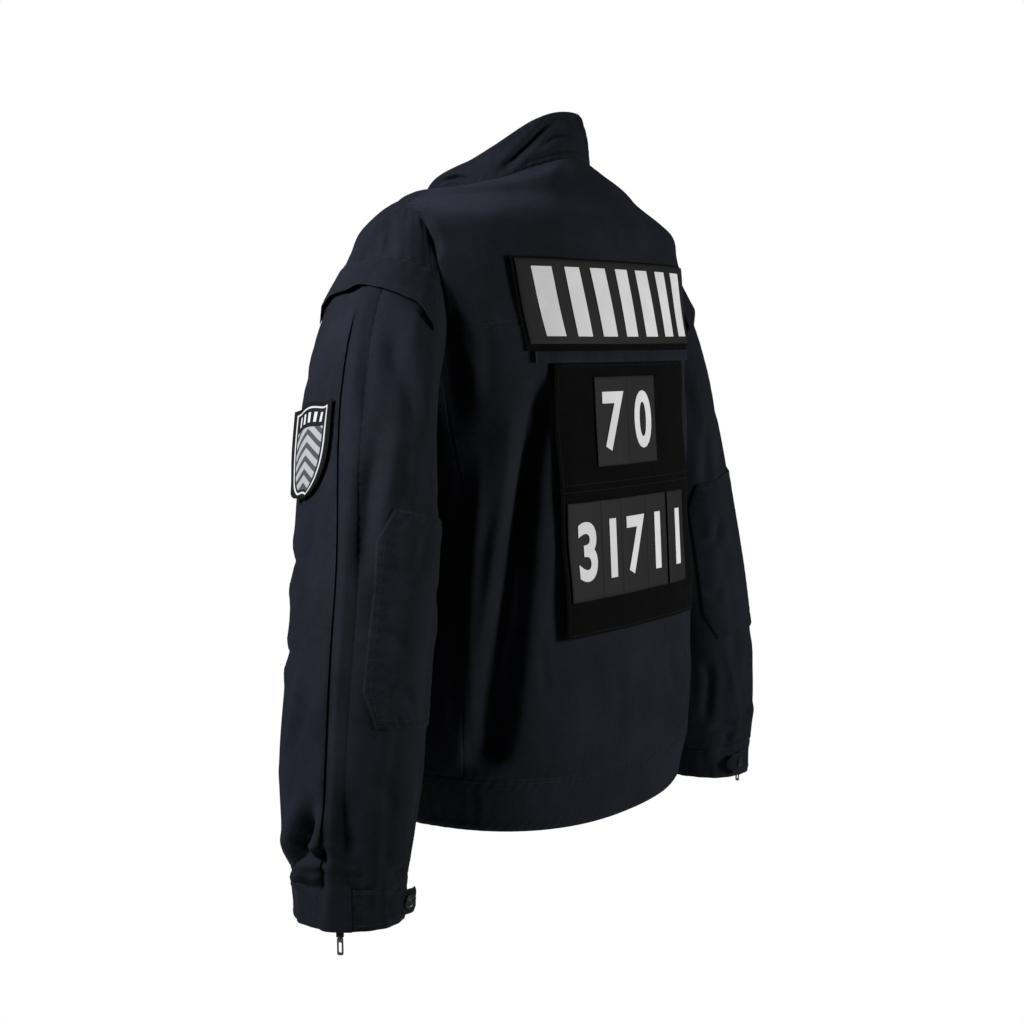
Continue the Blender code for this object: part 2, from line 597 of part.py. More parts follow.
def make_button(side, word):
    """Press stud on the cuff's tab, a low turned cap."""
    place = frame_at(tab_surface, STUD_AT, CUFF + 0.5, CLOTH + GAP + STUD_THICK / 2, side)
    stud = bmesh.new()
    bmesh.ops.create_cone(stud, cap_ends=True, segments=16, radius1=STUD_RADIUS, radius2=STUD_RADIUS * 0.8,
                          depth=STUD_THICK)
    mesh = bpy.data.meshes.new(f"cuff_stud_{word}")
    stud.to_mesh(mesh)
    stud.free()
    item = add_object(f"cuff_stud_{word}", mesh, look("dark metal", METAL_GREY, 0.4, 0.8))
    item.matrix_world = place @ Matrix.Rotation(math.radians(-90), 4, "X")


SLIDER = (0.0066, 0.0032, 0.0100)       # width, depth, height
FRONT_SLIDER = (0.0098, 0.0032, 0.0125)
FRONT_HINGE = 0.0035                    # height of the front pull's hinge over the slider's middle
PULL_WIDE, PULL_LONG, PULL_THICK = 0.0056, 0.0160, 0.0012
AXIS_DROP = 0.0012                      # hinge axis from the slider's face
PULL_OVER = 0.00085                     # the pull's edge above its axis
SLOT_WIDE, SLOT_LONG, SLOT_DROP = 0.0028, 0.0096, 0.0010      # the slot cut in a pull


def rounded_box(name, size, radius, material):
    """A box with bevelled edges, centred on its own origin."""
    bpy.ops.mesh.primitive_cube_add(size=1.0)
    item = bpy.context.object
    item.name = name
    item.data.name = name
    item.data.transform(Matrix.Diagonal((*size, 1.0)))
    bevel = item.modifiers.new("Edges", "BEVEL")
    bevel.width = radius
    bevel.segments = 2
    item.data.materials.append(material)
    for owner in item.users_collection:
        owner.objects.unlink(item)
    jacket.objects.link(item)
    return item


def make_pull(name, place):
    """A pull tab with a slot, its origin on its hinge; x is the hinge's axis and z is up."""
    line = bpy.data.curves.new(name, "CURVE")
    line.dimensions = "2D"
    line.fill_mode = "BOTH"
    line.extrude = PULL_THICK / 2
    middle = PULL_OVER - PULL_LONG / 2
    for half_wide, half_long, drop in ((PULL_WIDE / 2, PULL_LONG / 2, 0.0),
                                       (SLOT_WIDE / 2, SLOT_LONG / 2, SLOT_DROP)):
        cut = min(half_wide, 0.0016) * 0.6
        corners = [(half_wide, half_long - cut), (half_wide - cut, half_long),
                   (cut - half_wide, half_long), (-half_wide, half_long - cut),
                   (-half_wide, cut - half_long), (cut - half_wide, -half_long),
                   (half_wide - cut, -half_long), (half_wide, cut - half_long)]
        spline = line.splines.new("POLY")
        spline.points.add(len(corners) - 1)
        for knot, (x, y) in zip(spline.points, corners):
            knot.co = (x, y + middle - drop, 0.0, 1.0)
        spline.use_cyclic_u = True
    outline = bpy.data.objects.new(name + "_outline", line)
    jacket.objects.link(outline)
    bpy.context.view_layer.update()
    mesh = bpy.data.meshes.new_from_object(outline.evaluated_get(bpy.context.evaluated_depsgraph_get()))
    bpy.data.objects.remove(outline)
    welded = bmesh.new()
    welded.from_mesh(mesh)
    bmesh.ops.remove_doubles(welded, verts=welded.verts[:], dist=0.00001)
    bmesh.ops.recalc_face_normals(welded, faces=welded.faces[:])
    welded.to_mesh(mesh)
    welded.free()
    mesh.materials.clear()
    mesh.name = name
    item = add_object(name, mesh, look("dark metal", METAL_GREY, 0.4, 0.8))
    item.matrix_world = place @ Matrix.Rotation(math.radians(90), 4, "X")


def make_zips():
    """Front zip tapes, and a slider with its pull on each of the three zips."""
    tape = look("zip tape", NAVY_DARK, 0.8)
    metal = look("dark metal", METAL_GREY, 0.4, 0.8)
    rows = front_rows() + [WAIST - SEAM, *between(WAIST, HEM, np.array([1 / 3, 2 / 3, 1.0]))]

    def front_tape(p, q):
        height = at_stops(q, rows)
        aside = between(-GAP, -FRONT_SLOT + GAP + 0.0001, p)
        return front_turn(height, aside), height

    for side, word in ((1, "left"), (-1, "right")):
        slab(f"front_zip_{word}", tape, plain_body, front_tape, 1, len(rows) - 1, -TAPE, 0.0, side)
        turn = ZIP_LINE[-1, 2]
        place = frame_at(sleeve, turn, SLEEVE_END, -SLIDER[1] / 2 - 0.0001, side)
        slider = rounded_box(f"sleeve_slider_{word}", SLIDER, 0.0006, metal)
        slider.matrix_world = place @ Matrix.Translation((0, 0, -GAP))
        hinge = place @ Matrix.Translation((0, 0, -GAP - SLIDER[2] / 2 - AXIS_DROP))
        make_pull(f"sleeve_pull_{word}", hinge)
    place = frame_at(plain_body, 180.0, V_FOOT - 0.004, GAP + FRONT_SLIDER[1] / 2)
    slider = rounded_box("front_slider", FRONT_SLIDER, 0.0007, metal)
    slider.matrix_world = place
    make_pull("front_pull", place @ Matrix.Translation((0, FRONT_SLIDER[1] / 2 + AXIS_DROP, FRONT_HINGE)))


def make_signs():
    """Plates on the back: a sign on its loop strip, a channelled strip, the loop panel and its tiles."""
    loop = look("loop pile", LOOP_BLACK, 0.95)
    cloth = look("navy cloth", NAVY, 0.85)
    grey = look("sign grey", SIGN_GREY, 0.7)
    first = OVER_BACK
    second = OVER_BACK + PLATE + OVER_PLATE

    def rectangle(left, right, top, foot):
        return lambda p, q: (between(left, right, p), between(top, foot, q))

    def sign(top, foot, grow):
        def span(p, q):
            z = between(top, foot, q)
            left = np.interp(z, (SIGN_FOOT, SIGN_TOP), (SIGN_LEFT_FOOT, SIGN_LEFT_TOP))
            return between(left + grow, SIGN_RIGHT - grow, p), z
        return span

    slab("sign_loop_strip", loop, back_plate, sign(SIGN_TOP + 0.002, SIGN_STRIP_FOOT, 0.003), 14, 2,
         first, first + PLATE)
    slab("back_sign", grey, back_plate, sign(SIGN_TOP, SIGN_FOOT, 0.0), 14, 2, second, second + PLATE)
    slab("channel_strip", cloth, back_plate,
         rectangle(CHANNEL_HALF, -CHANNEL_HALF, SIGN_STRIP_FOOT - GAP, CHANNEL_FOOT), 14, 1,
         first, first + CLOTH)
    slab("loop_panel_upper", loop, back_plate,
         rectangle(PANEL_HALF, -PANEL_HALF, CHANNEL_FOOT - GAP, PANEL_SEAM + SEAM), 12, 3,
         first, first + PLATE)
    slab("loop_panel_lower", loop, back_plate,
         rectangle(PANEL_HALF, -PANEL_HALF, PANEL_SEAM - SEAM, PANEL_FOOT), 12, 3, first, first + PLATE)
    for count, (left, right) in enumerate(zip(NUMBER_EDGES, NUMBER_EDGES[1:]), 1):
        slab(f"number_tile_{count}", grey, back_plate,
             rectangle(left - SEAM, right + SEAM, NUMBER_TOP, NUMBER_FOOT), 3, 2, second, second + PLATE)
    for count, (left, right) in enumerate(ROW_EDGES, 1):
        slab(f"row_tile_{count}", grey, back_plate,
             rectangle(left - SEAM, right + SEAM, ROW_TOP, ROW_FOOT), 3, 2, second, second + PLATE)


def make_badge():
    """Shield badge on the left sleeve, square shoulders and a rounded foot."""
    def shield(p, q):
        down = np.maximum((q - BADGE_SHOULDER) / (1.04 - BADGE_SHOULDER), 0.0)
        half = BADGE_HALF * np.sqrt(np.clip(1.0 - down**2.6, 0.0, 1.0))
        return BADGE_RING + half * (2 * p - 1), between(BADGE_TOP, BADGE_FOOT, q)

    def stiff(p, q):
        front, back = np.maximum(1 - 2 * p, 0.0) ** 2, np.maximum(2 * p - 1, 0.0) ** 2
        return UNDER_BADGE + front * BADGE_OFF_FRONT + back * BADGE_OFF_BACK

    slab("sleeve_badge", look("badge", LOOP_BLACK, 0.8), sleeve, shield, 6, 8,
         stiff, lambda p, q: stiff(p, q) + CLOTH)


for old in list(bpy.data.objects):
    bpy.data.objects.remove(old)
jacket = bpy.data.collections.new("duty_jacket")
bpy.context.scene.collection.children.link(jacket)

make_back()
make_fronts()
make_collar_and_waistband()
for side, word in ((1, "left"), (-1, "right")):
    make_sleeve(side, word)
    make_button(side, word)
make_zips()
make_signs()
make_badge()
bpy.context.view_layer.update()
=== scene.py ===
# %% [markdown]
# # A duty jacket, worn and seen from behind
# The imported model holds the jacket's solids at their real size. This lesson dresses them: every cloth
# piece becomes a fine shell on the same form, with creases, seams, stitches and a woven finish.

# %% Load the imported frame
import math

import bmesh
import bpy
import numpy as np
from mathutils import Matrix, Vector


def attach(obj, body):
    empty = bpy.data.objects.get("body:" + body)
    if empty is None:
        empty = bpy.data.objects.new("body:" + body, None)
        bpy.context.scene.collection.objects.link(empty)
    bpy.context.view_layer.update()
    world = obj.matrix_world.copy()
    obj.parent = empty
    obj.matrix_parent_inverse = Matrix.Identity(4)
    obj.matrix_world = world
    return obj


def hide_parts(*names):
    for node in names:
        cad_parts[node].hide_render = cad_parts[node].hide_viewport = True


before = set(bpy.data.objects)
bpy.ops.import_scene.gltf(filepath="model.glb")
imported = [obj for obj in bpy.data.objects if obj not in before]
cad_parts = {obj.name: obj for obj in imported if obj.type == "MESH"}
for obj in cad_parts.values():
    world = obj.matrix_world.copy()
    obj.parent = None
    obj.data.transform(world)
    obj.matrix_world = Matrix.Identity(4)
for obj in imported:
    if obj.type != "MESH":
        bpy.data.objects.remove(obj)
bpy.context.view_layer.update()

# %% [markdown]
# The camera stands behind the jacket, on the side of its left sleeve, at about chest height and tilted a
# little down. A long lens from almost two metres keeps the shape free of distortion.

# %% Camera
CAMERA_TURN = math.radians(56.0)        # from straight behind towards the left sleeve
CAMERA_AWAY, CAMERA_HEIGHT = 1.90, -0.167
CAMERA_TILT = math.radians(5.48)
camera = bpy.data.objects.new("camera", bpy.data.cameras.new("camera"))
bpy.context.scene.collection.objects.link(camera)
camera.data.lens = 63.74
camera.location = (math.sin(CAMERA_TURN) * CAMERA_AWAY, math.cos(CAMERA_TURN) * CAMERA_AWAY, CAMERA_HEIGHT)
camera.rotation_euler = (math.pi / 2 - CAMERA_TILT, 0.0, math.pi - CAMERA_TURN)
bpy.context.scene.camera = camera

# %% [markdown]
# Light for near-black cloth: the room looks white to the camera but gives little light, so that creases
# keep their shadows. One soft lamp stands high on the left sleeve's side and a little in front, another
# behind, to the right and at chest height. The floor is a disc where the wearer's feet would stand.

# %% Light and floor
FLOOR_DROP, FLOOR_RADIUS = 1.45, 1.25
ROOM_LIGHT = 0.035
LIT_PLACE = Vector((0.1, 0.0, -0.32))       # the middle of the jacket, to which the lamps turn
scene = bpy.context.scene
scene.view_settings.view_transform = "Standard"
world = bpy.data.worlds.new("room")
world.use_nodes = True
scene.world = world
tree = world.node_tree
seen, lit = tree.nodes["Background"], tree.nodes.new("ShaderNodeBackground")
seen.inputs["Color"].default_value = (1.0, 1.0, 1.0, 1.0)
lit.inputs["Color"].default_value = (0.93, 0.96, 1.0, 1.0)
lit.inputs["Strength"].default_value = ROOM_LIGHT
choice, path = tree.nodes.new("ShaderNodeMixShader"), tree.nodes.new("ShaderNodeLightPath")
tree.links.new(path.outputs["Is Camera Ray"], choice.inputs[0])
tree.links.new(lit.outputs[0], choice.inputs[1])
tree.links.new(seen.outputs[0], choice.inputs[2])
tree.links.new(choice.outputs[0], tree.nodes["World Output"].inputs[0])


def soft_lamp(name, place, size, watts):
    """A square lamp that looks at the middle of the jacket."""
    lamp = bpy.data.objects.new(name, bpy.data.lights.new(name, "AREA"))
    lamp.data.size = size
    lamp.data.energy = watts
    lamp.location = place
    lamp.rotation_euler = (LIT_PLACE - Vector(place)).to_track_quat("-Z", "Y").to_euler()
    scene.collection.objects.link(lamp)


def as_mesh(name, shape):
    """The mesh of a shape that was built with bmesh, which is then freed."""
    mesh = bpy.data.meshes.new(name)
    shape.to_mesh(mesh)
    shape.free()
    return mesh


soft_lamp("sleeve side", (1.25, -0.35, 0.45), 0.35, 27.0)
soft_lamp("right behind", (-0.45, 1.25, -0.25), 0.42, 11.2)

ground = bmesh.new()
bmesh.ops.create_circle(ground, cap_ends=True, segments=96, radius=FLOOR_RADIUS,
                        matrix=Matrix.Translation((0.0, 0.0, -FLOOR_DROP)))
floor_mesh = as_mesh("floor", ground)
floor = bpy.data.objects.new("floor", floor_mesh)
scene.collection.objects.link(floor)

# %% [markdown]
# Materials are written as sums of sockets. A `Value` wraps one socket and its operators add Math nodes; a
# `Finish` is a material in the making, with one method that adds any other node.

# %% Helpers for materials


class Value:
    """A socket that can be used in sums; each operator adds one Math node."""

    def __init__(self, finish, socket):
        self.finish, self.socket = finish, socket

    def math(self, operation, other=0.0, swapped=False):
        first, second = (other, self) if swapped else (self, other)
        return self.finish.node("ShaderNodeMath", {0: first, 1: second}, operation=operation)

    def __add__(self, other):
        return self.math("ADD", other)

    def __radd__(self, other):
        return self.math("ADD", other, True)

    def __sub__(self, other):
        return self.math("SUBTRACT", other)

    def __rsub__(self, other):
        return self.math("SUBTRACT", other, True)

    def __mul__(self, other):
        return self.math("MULTIPLY", other)

    def __rmul__(self, other):
        return self.math("MULTIPLY", other, True)

    def step(self, low, high):
        """0 at low, 1 at high, clamped and smooth between."""
        ends = {0: self, 1: low, 2: high}
        return self.finish.node("ShaderNodeMapRange", ends, interpolation_type="SMOOTHSTEP")

    def wave(self, length, kind="SINE"):
        """A wave that repeats after a length."""
        return (self * (2 * math.pi / length)).math(kind)


class Finish:
    """A material in the making, named for one finish of the jacket."""

    def __init__(self, name, roughness, **plain):
        self.material = bpy.data.materials.new(name)
        self.material.use_nodes = True
        self.tree = self.material.node_tree
        self.shader = self.tree.nodes["Principled BSDF"]
        for socket, value in {"Roughness": roughness, **plain}.items():
            self.put(self.shader.inputs[socket.replace("_", " ")], value)

    def put(self, socket, value):
        if isinstance(value, Value):
            self.tree.links.new(value.socket, socket)
        elif hasattr(value, "__len__") and len(socket.default_value) == 4:
            socket.default_value = (*value[:3], 1.0)
        else:
            socket.default_value = value

    def node(self, kind, sockets=(), output=0, **settings):
        made = self.tree.nodes.new(kind)
        for name, value in settings.items():
            setattr(made, name, value)
        for name, value in dict(sockets).items():
            self.put(made.inputs[name], value)
        return Value(self, made.outputs[output])

    def cloth_place(self, scale=(1.0, 1.0, 1.0)):
        """Where a point lies on the flat cut, in metres."""
        flat = self.node("ShaderNodeUVMap", uv_map="cut")
        return self.node("ShaderNodeMapping", {"Vector": flat, "Scale": scale})

    def axis(self, vector, which):
        return self.node("ShaderNodeSeparateXYZ", {0: vector}, output=which)

    def attribute(self, name):
        return self.node("ShaderNodeAttribute", output=2, attribute_name=name)

    def noise(self, vector, scale, detail=2.0, rough=0.5):
        return self.node("ShaderNodeTexNoise", {"Vector": vector, "Scale": scale, "Detail": detail,
                                                "Roughness": rough})

    def blend(self, first, second, share):
        return self.node("ShaderNodeMix", {0: share, 6: first, 7: second}, output=2, data_type="RGBA")

    def bump(self, height, distance, strength, under=None):
        sockets = {"Height": height, "Distance": distance, "Strength": strength}
        if under is not None:
            sockets["Normal"] = under
        return self.node("ShaderNodeBump", sockets)

    def done(self, colour, normal):
        self.put(self.shader.inputs["Base Color"], colour)
        self.put(self.shader.inputs["Normal"], normal)
        return self.material


def grey(level):
    return (level, level, level)


# %% [markdown]
# The cloth is a dense navy twill, near black, with a dry sheen. Its ribs run slantwise, 0.8 mm apart along
# the cut's width, and they follow the cut through a UV map in metres. Slow patches of tone, a fine crumple
# and a painted highlight, paler along the seams' rolled edges, keep large panels from looking like paint.

# %% Navy cloth
RIB = 0.0008            # from one rib of the twill to the next, along the cut's width
YARN = 0.00042          # from one yarn to the next
EDGE_HIGHLIGHT_REACH = 0.0016     # how far the painted highlight reaches in from an edge


def make_navy_cloth():
    cloth = Finish("navy_cloth", 0.82, Specular_IOR_Level=0.13, Sheen_Weight=0.04, Sheen_Roughness=0.45)
    cloth.put(cloth.shader.inputs["Sheen Tint"], (0.62, 0.72, 1.0))
    flat = cloth.cloth_place()
    across, down = cloth.axis(flat, 0), cloth.axis(flat, 1)
    rib = (across + down).wave(RIB)
    yarn = across.wave(YARN) * down.wave(YARN)
    slub = cloth.noise(cloth.cloth_place(scale=(40.0, 900.0, 1.0)), 1.0, 1.0)
    weave = rib * 0.55 + yarn * 0.3 + slub * 0.8
    crumple = cloth.noise(flat, 110.0, 3.0, 0.55)
    patches = cloth.noise(flat, 11.0, 2.0)
    flecks = cloth.noise(flat, 1300.0, 1.0).step(0.70, 0.78)
    tone = patches.step(0.32, 0.70) * 0.6 + crumple.step(0.3, 0.7) * 0.25 + weave * 0.12
    colour = cloth.blend((0.0052, 0.0066, 0.0110), (0.0118, 0.0142, 0.0225), tone)
    # painted highlight: a paler colour along the seams' rolled edges, strongest on the crumple's raised
    # spots
    edge_highlight = (1.0 - cloth.attribute("rim").step(0.0003, EDGE_HIGHLIGHT_REACH)) * crumple.step(0.35, 0.62)
    colour = cloth.blend(colour, (0.030, 0.033, 0.042), edge_highlight * 0.25 + flecks * 0.10)
    normal = cloth.bump(crumple, 0.0011, 0.32)
    return cloth.done(colour, cloth.bump(weave, 0.00016, 0.5, normal))


NAVY_CLOTH = make_navy_cloth()

# %% [markdown]
# Zip tape is a flat, ribbed weave, a shade darker than the cloth. Thread is a tight twist, as dark as the
# cloth that it holds but a little shinier.

# %% Tape and thread
TAPE_ROW, TAPE_RIB = 0.0011, 0.0009     # from one row or rib of the zip tape to the next


def make_zip_tape():
    tape = Finish("zip_tape", 0.75, Specular_IOR_Level=0.2)
    flat = tape.cloth_place()
    rows = tape.axis(flat, 1).wave(TAPE_ROW)
    ribs = tape.axis(flat, 0).wave(TAPE_RIB)
    tone = tape.noise(flat, 90.0, 2.0)
    return tape.done(tape.blend((0.004, 0.004, 0.006), (0.010, 0.010, 0.014), tone),
                     tape.bump(rows * ribs, 0.0002, 0.7))


def make_thread():
    thread = Finish("thread", 0.6, Specular_IOR_Level=0.3, Sheen_Weight=0.1)
    place = thread.node("ShaderNodeTexCoord", output=3)
    tone = thread.noise(place, 500.0, 1.0)
    return thread.done(thread.blend((0.0040, 0.0047, 0.0068), (0.0110, 0.0126, 0.0178), tone),
                       thread.bump(tone, 0.0002, 0.5))


ZIP_TAPE, THREAD = make_zip_tape(), make_thread()

# %% [markdown]
# The panels that carry the tiles are loop pile: tiny rings of yarn that swallow light. Cells about a
# millimetre wide give the rings, and a slower noise shows where the pile is brushed one way.

# %% Loop pile
LOOP = 0.0011           # width of one ring of yarn


def make_loop_pile():
    pile = Finish("loop_pile", 0.95, Specular_IOR_Level=0.08, Sheen_Weight=0.02)
    flat = pile.cloth_place()
    rings = pile.node("ShaderNodeTexVoronoi", {"Vector": flat, "Scale": 1 / LOOP, "Randomness": 0.85})
    strands = pile.noise(flat, 1400.0, 2.0, 0.6)
    brushed = pile.noise(flat, 45.0, 3.0)
    light = (1.0 - rings.step(0.15, 0.75)) * strands.step(0.40, 0.75)
    tone = light * 0.8 + brushed.step(0.35, 0.7) * 0.25
    colour = pile.blend((0.0005, 0.0005, 0.0008), (0.0048, 0.0048, 0.0058), tone)
    return pile.done(colour, pile.bump(light, 0.0007, 0.8))


LOOP_PILE = make_loop_pile()

# %% [markdown]
# Sign and tiles are a dark grey ribbed weave whose upright threads show as streaks. The figures and bars
# on them are thick off-white film, matt, with a faint web of the cloth beneath.

# %% Sign weave and lettering


def make_sign_grey():
    sign = Finish("sign_grey", 0.7, Specular_IOR_Level=0.22, Sheen_Weight=0.05)
    flat = sign.cloth_place()
    threads = sign.noise(sign.cloth_place(scale=(1250.0, 22.0, 1.0)), 1.0, 3.0, 0.6)
    patches = sign.noise(flat, 60.0, 2.0)
    tone = threads.step(0.30, 0.72) * 0.75 + patches * 0.3
    colour = sign.blend((0.0021, 0.0021, 0.0025), (0.0092, 0.0092, 0.0100), tone)
    edge = 1.0 - sign.attribute("rim").step(0.0008, 0.0016)
    colour = sign.blend(colour, (0.002, 0.002, 0.003), edge * 0.8)
    return sign.done(colour, sign.bump(threads, 0.0003, 0.6))


def make_lettering():
    film = Finish("lettering", 0.55, Specular_IOR_Level=0.35)
    place = film.node("ShaderNodeTexCoord", output=3)
    web = film.noise(place, 900.0, 2.0)
    dust = film.noise(place, 35.0, 3.0).step(0.35, 0.7)
    return film.done(film.blend((0.80, 0.80, 0.81), (0.90, 0.90, 0.90), dust * 0.7 + web * 0.3),
                     film.bump(web, 0.0001, 0.35))


SIGN_GREY, LETTERING = make_sign_grey(), make_lettering()

# %% [markdown]
# The hardware is die-cast zinc under dark paint. The paint's roughness varies, and small rubbed spots let
# the bare metal through.

# %% Metal


def make_metal(name, paint, bare, share):
    metal = Finish(name, 0.4, Specular_IOR_Level=0.5)
    place = metal.node("ShaderNodeTexCoord", output=3)
    cloudy = metal.noise(place, 260.0, 3.0)
    rubbed = metal.noise(place, 900.0, 2.0).step(0.62 - share, 0.70 - share)
    metal.put(metal.shader.inputs["Metallic"], rubbed * 0.4 + 0.6)
    metal.put(metal.shader.inputs["Roughness"], 0.52 - cloudy * 0.25)
    return metal.done(metal.blend(paint, bare, rubbed), metal.bump(cloudy, 0.0001, 0.3))


DARK_METAL = make_metal("dark_metal", grey(0.035), grey(0.30), 0.02)
BARE_METAL = make_metal("bare_metal", grey(0.16), grey(0.46), 0.14)
TEETH = make_metal("zip_teeth", grey(0.006), grey(0.03), 0.0)

# %% [markdown]
# ## The jacket's form
# The solids were laid on a few smooth surfaces: level sections for the body, rings for the sleeves. The
# shells use the same tables, so they lie on the solids apart from their creases.

# %% Tables of the form
CLOTH, DOUBLE, TAPE, GAP = 0.0016, 0.0024, 0.0012, 0.0003
LAP, LAP_TURN, LAP_STATION = 0.0004, 0.10, 0.004      # how far the pieces reach under each other at seams
NECK, YOKE_RISE, WAIST, HEM = -0.018, 0.020, -0.578, -0.632
# height, half width, back depth, front depth, middle, squareness, back lift, front lift
BODY = np.array([
    [NECK,   0.088, 0.078, 0.080, 0.000, 2.00, 0.032, -0.058],
    [-0.022, 0.135, 0.084, 0.092, 0.004, 2.00, 0.024, -0.058],
    [-0.034, 0.185, 0.089, 0.106, 0.013, 2.00, 0.010, -0.054],
    [-0.052, 0.226, 0.096, 0.122, 0.024, 2.10, 0.003, -0.046],
    [-0.080, 0.237, 0.107, 0.125, 0.020, 2.20, -0.003, -0.030],
    [-0.120, 0.240, 0.121, 0.138, 0.012, 2.30, -0.003, -0.014],
    [-0.180, 0.236, 0.134, 0.145, 0.005, 2.50, -0.002, -0.004],
    [-0.250, 0.224, 0.142, 0.148, 0.001, 2.70, 0.000, 0.000],
    [-0.310, 0.213, 0.147, 0.151, 0.000, 2.80, 0.000, 0.000],
    [-0.400, 0.217, 0.152, 0.154, 0.000, 2.80, -0.004, 0.000],
    [-0.500, 0.224, 0.156, 0.155, 0.000, 2.70, -0.009, -0.002],
    [WAIST,  0.222, 0.155, 0.150, 0.000, 2.60, -0.015, -0.004],
    [HEM,    0.208, 0.146, 0.140, 0.000, 2.60, -0.015, -0.004],
])
HOLE_ANGLE, HOLE_HEIGHT = 88.0, -0.150
HOLE_HALF_ANGLE, HOLE_HALF_HEIGHT = 27.0, 0.104
YOKE_STOP, BACK_STOP, FRONT_STOP, SIDE_SWING, SWING_LONG = 98.0, 112.0, 126.0, 3.0, 0.16
# station, outer x, outer z, inner x, inner z, middle y, half depth, squareness
SLEEVE = np.array([
    [1.0, 0.277, -0.120, 0.2255, -0.268, 0.018, 0.071, 2.0],
    [2.0, 0.294, -0.175, 0.2265, -0.281, 0.019, 0.071, 2.0],
    [3.0, 0.313, -0.235, 0.2270, -0.299, 0.023, 0.071, 2.1],
    [4.0, 0.333, -0.300, 0.2295, -0.330, 0.030, 0.069, 2.1],
    [5.0, 0.353, -0.380, 0.2400, -0.398, 0.038, 0.067, 2.1],
    [6.0, 0.376, -0.470, 0.2570, -0.486, 0.044, 0.065, 2.1],
    [7.0, 0.390, -0.550, 0.2690, -0.562, 0.048, 0.0635, 2.1],
    [8.0, 0.392, -0.610, 0.2800, -0.618, 0.050, 0.059, 2.1],
    [9.0, 0.389, -0.645, 0.2880, -0.649, 0.052, 0.053, 2.1],
    [10.0, 0.387, -0.683, 0.2930, -0.685, 0.053, 0.051, 2.1],
])
HEAD, PUFF, CUFF, CUFF_CALM, SLEEVE_END = 2.0, 0.30, 9.0, 0.7, 10.0
CAP_HALF, CAP_DEEP, FLAP_DEEP, FLAP_BACK, FLAP_FRONT, ZIP_SLOT = 70.0, 0.72, 0.60, 14.0, 6.0, 0.0040
# station, then how far back from the outer side lie the placket's free edge, the zip and the placket's seam
ZIP_LINE = np.array([
    [0.5, 4.0, 12.0, 22.0],
    [3.5, 6.0, 14.0, 25.0],
    [5.0, 13.0, 21.0, 32.0],
    [8.0, 17.0, 25.0, 37.0],
    [9.0, 10.0, 26.0, 39.0],
    [10.0, 0.0, 26.0, 39.0],
])
# angle from centre back, rise, lean outwards
COLLAR = np.array([
    [0.0, 0.046, -0.007],
    [40.0, 0.045, -0.006],
    [70.0, 0.034, -0.003],
    [100.0, 0.021, 0.001],
    [130.0, 0.025, 0.008],
    [165.0, 0.034, 0.014],
])
FRONT_SLOT, V_TOP, V_FOOT = 0.0076, 0.028, -0.118

# %% [markdown]
# ## Creases
# Cloth that hangs from shoulders and elbows buckles into soft troughs with a ridge on each side. Each one
# here is a short line drawn on the cloth, with a half width and a depth in steps close to a
# millimetre; a negative depth is a ridge. They differ between the two sleeves, as on a real jacket.

# %% Tables of creases
CREASE_WIDE, CREASE_DEEP = 0.00085, 0.00145        # metres in one step of half width and of depth
CREASE_ENDS, CREASE_RIDGE = 0.34, 0.30             # shares: of its length that fades, of its depth beside it
# x and z at the top and at the foot, half width, depth, ridge beside, all in metres but the last
FOLDS = np.array([
    [0.134, -0.192, 0.196, -0.580, 0.0125, 0.017, 0.22],
    [-0.131, -0.200, -0.172, -0.580, 0.0135, 0.014, 0.20],
])
FOLD_BEND, FOLD_LIMIT, FOLD_TOP, FOLD_FOOT = 0.85, 63.0, 0.12, 0.06
COVER_HALF, COVER_TOP, COVER_FOOT = 0.172, -0.080, -0.470      # where plates lie on the back's cloth
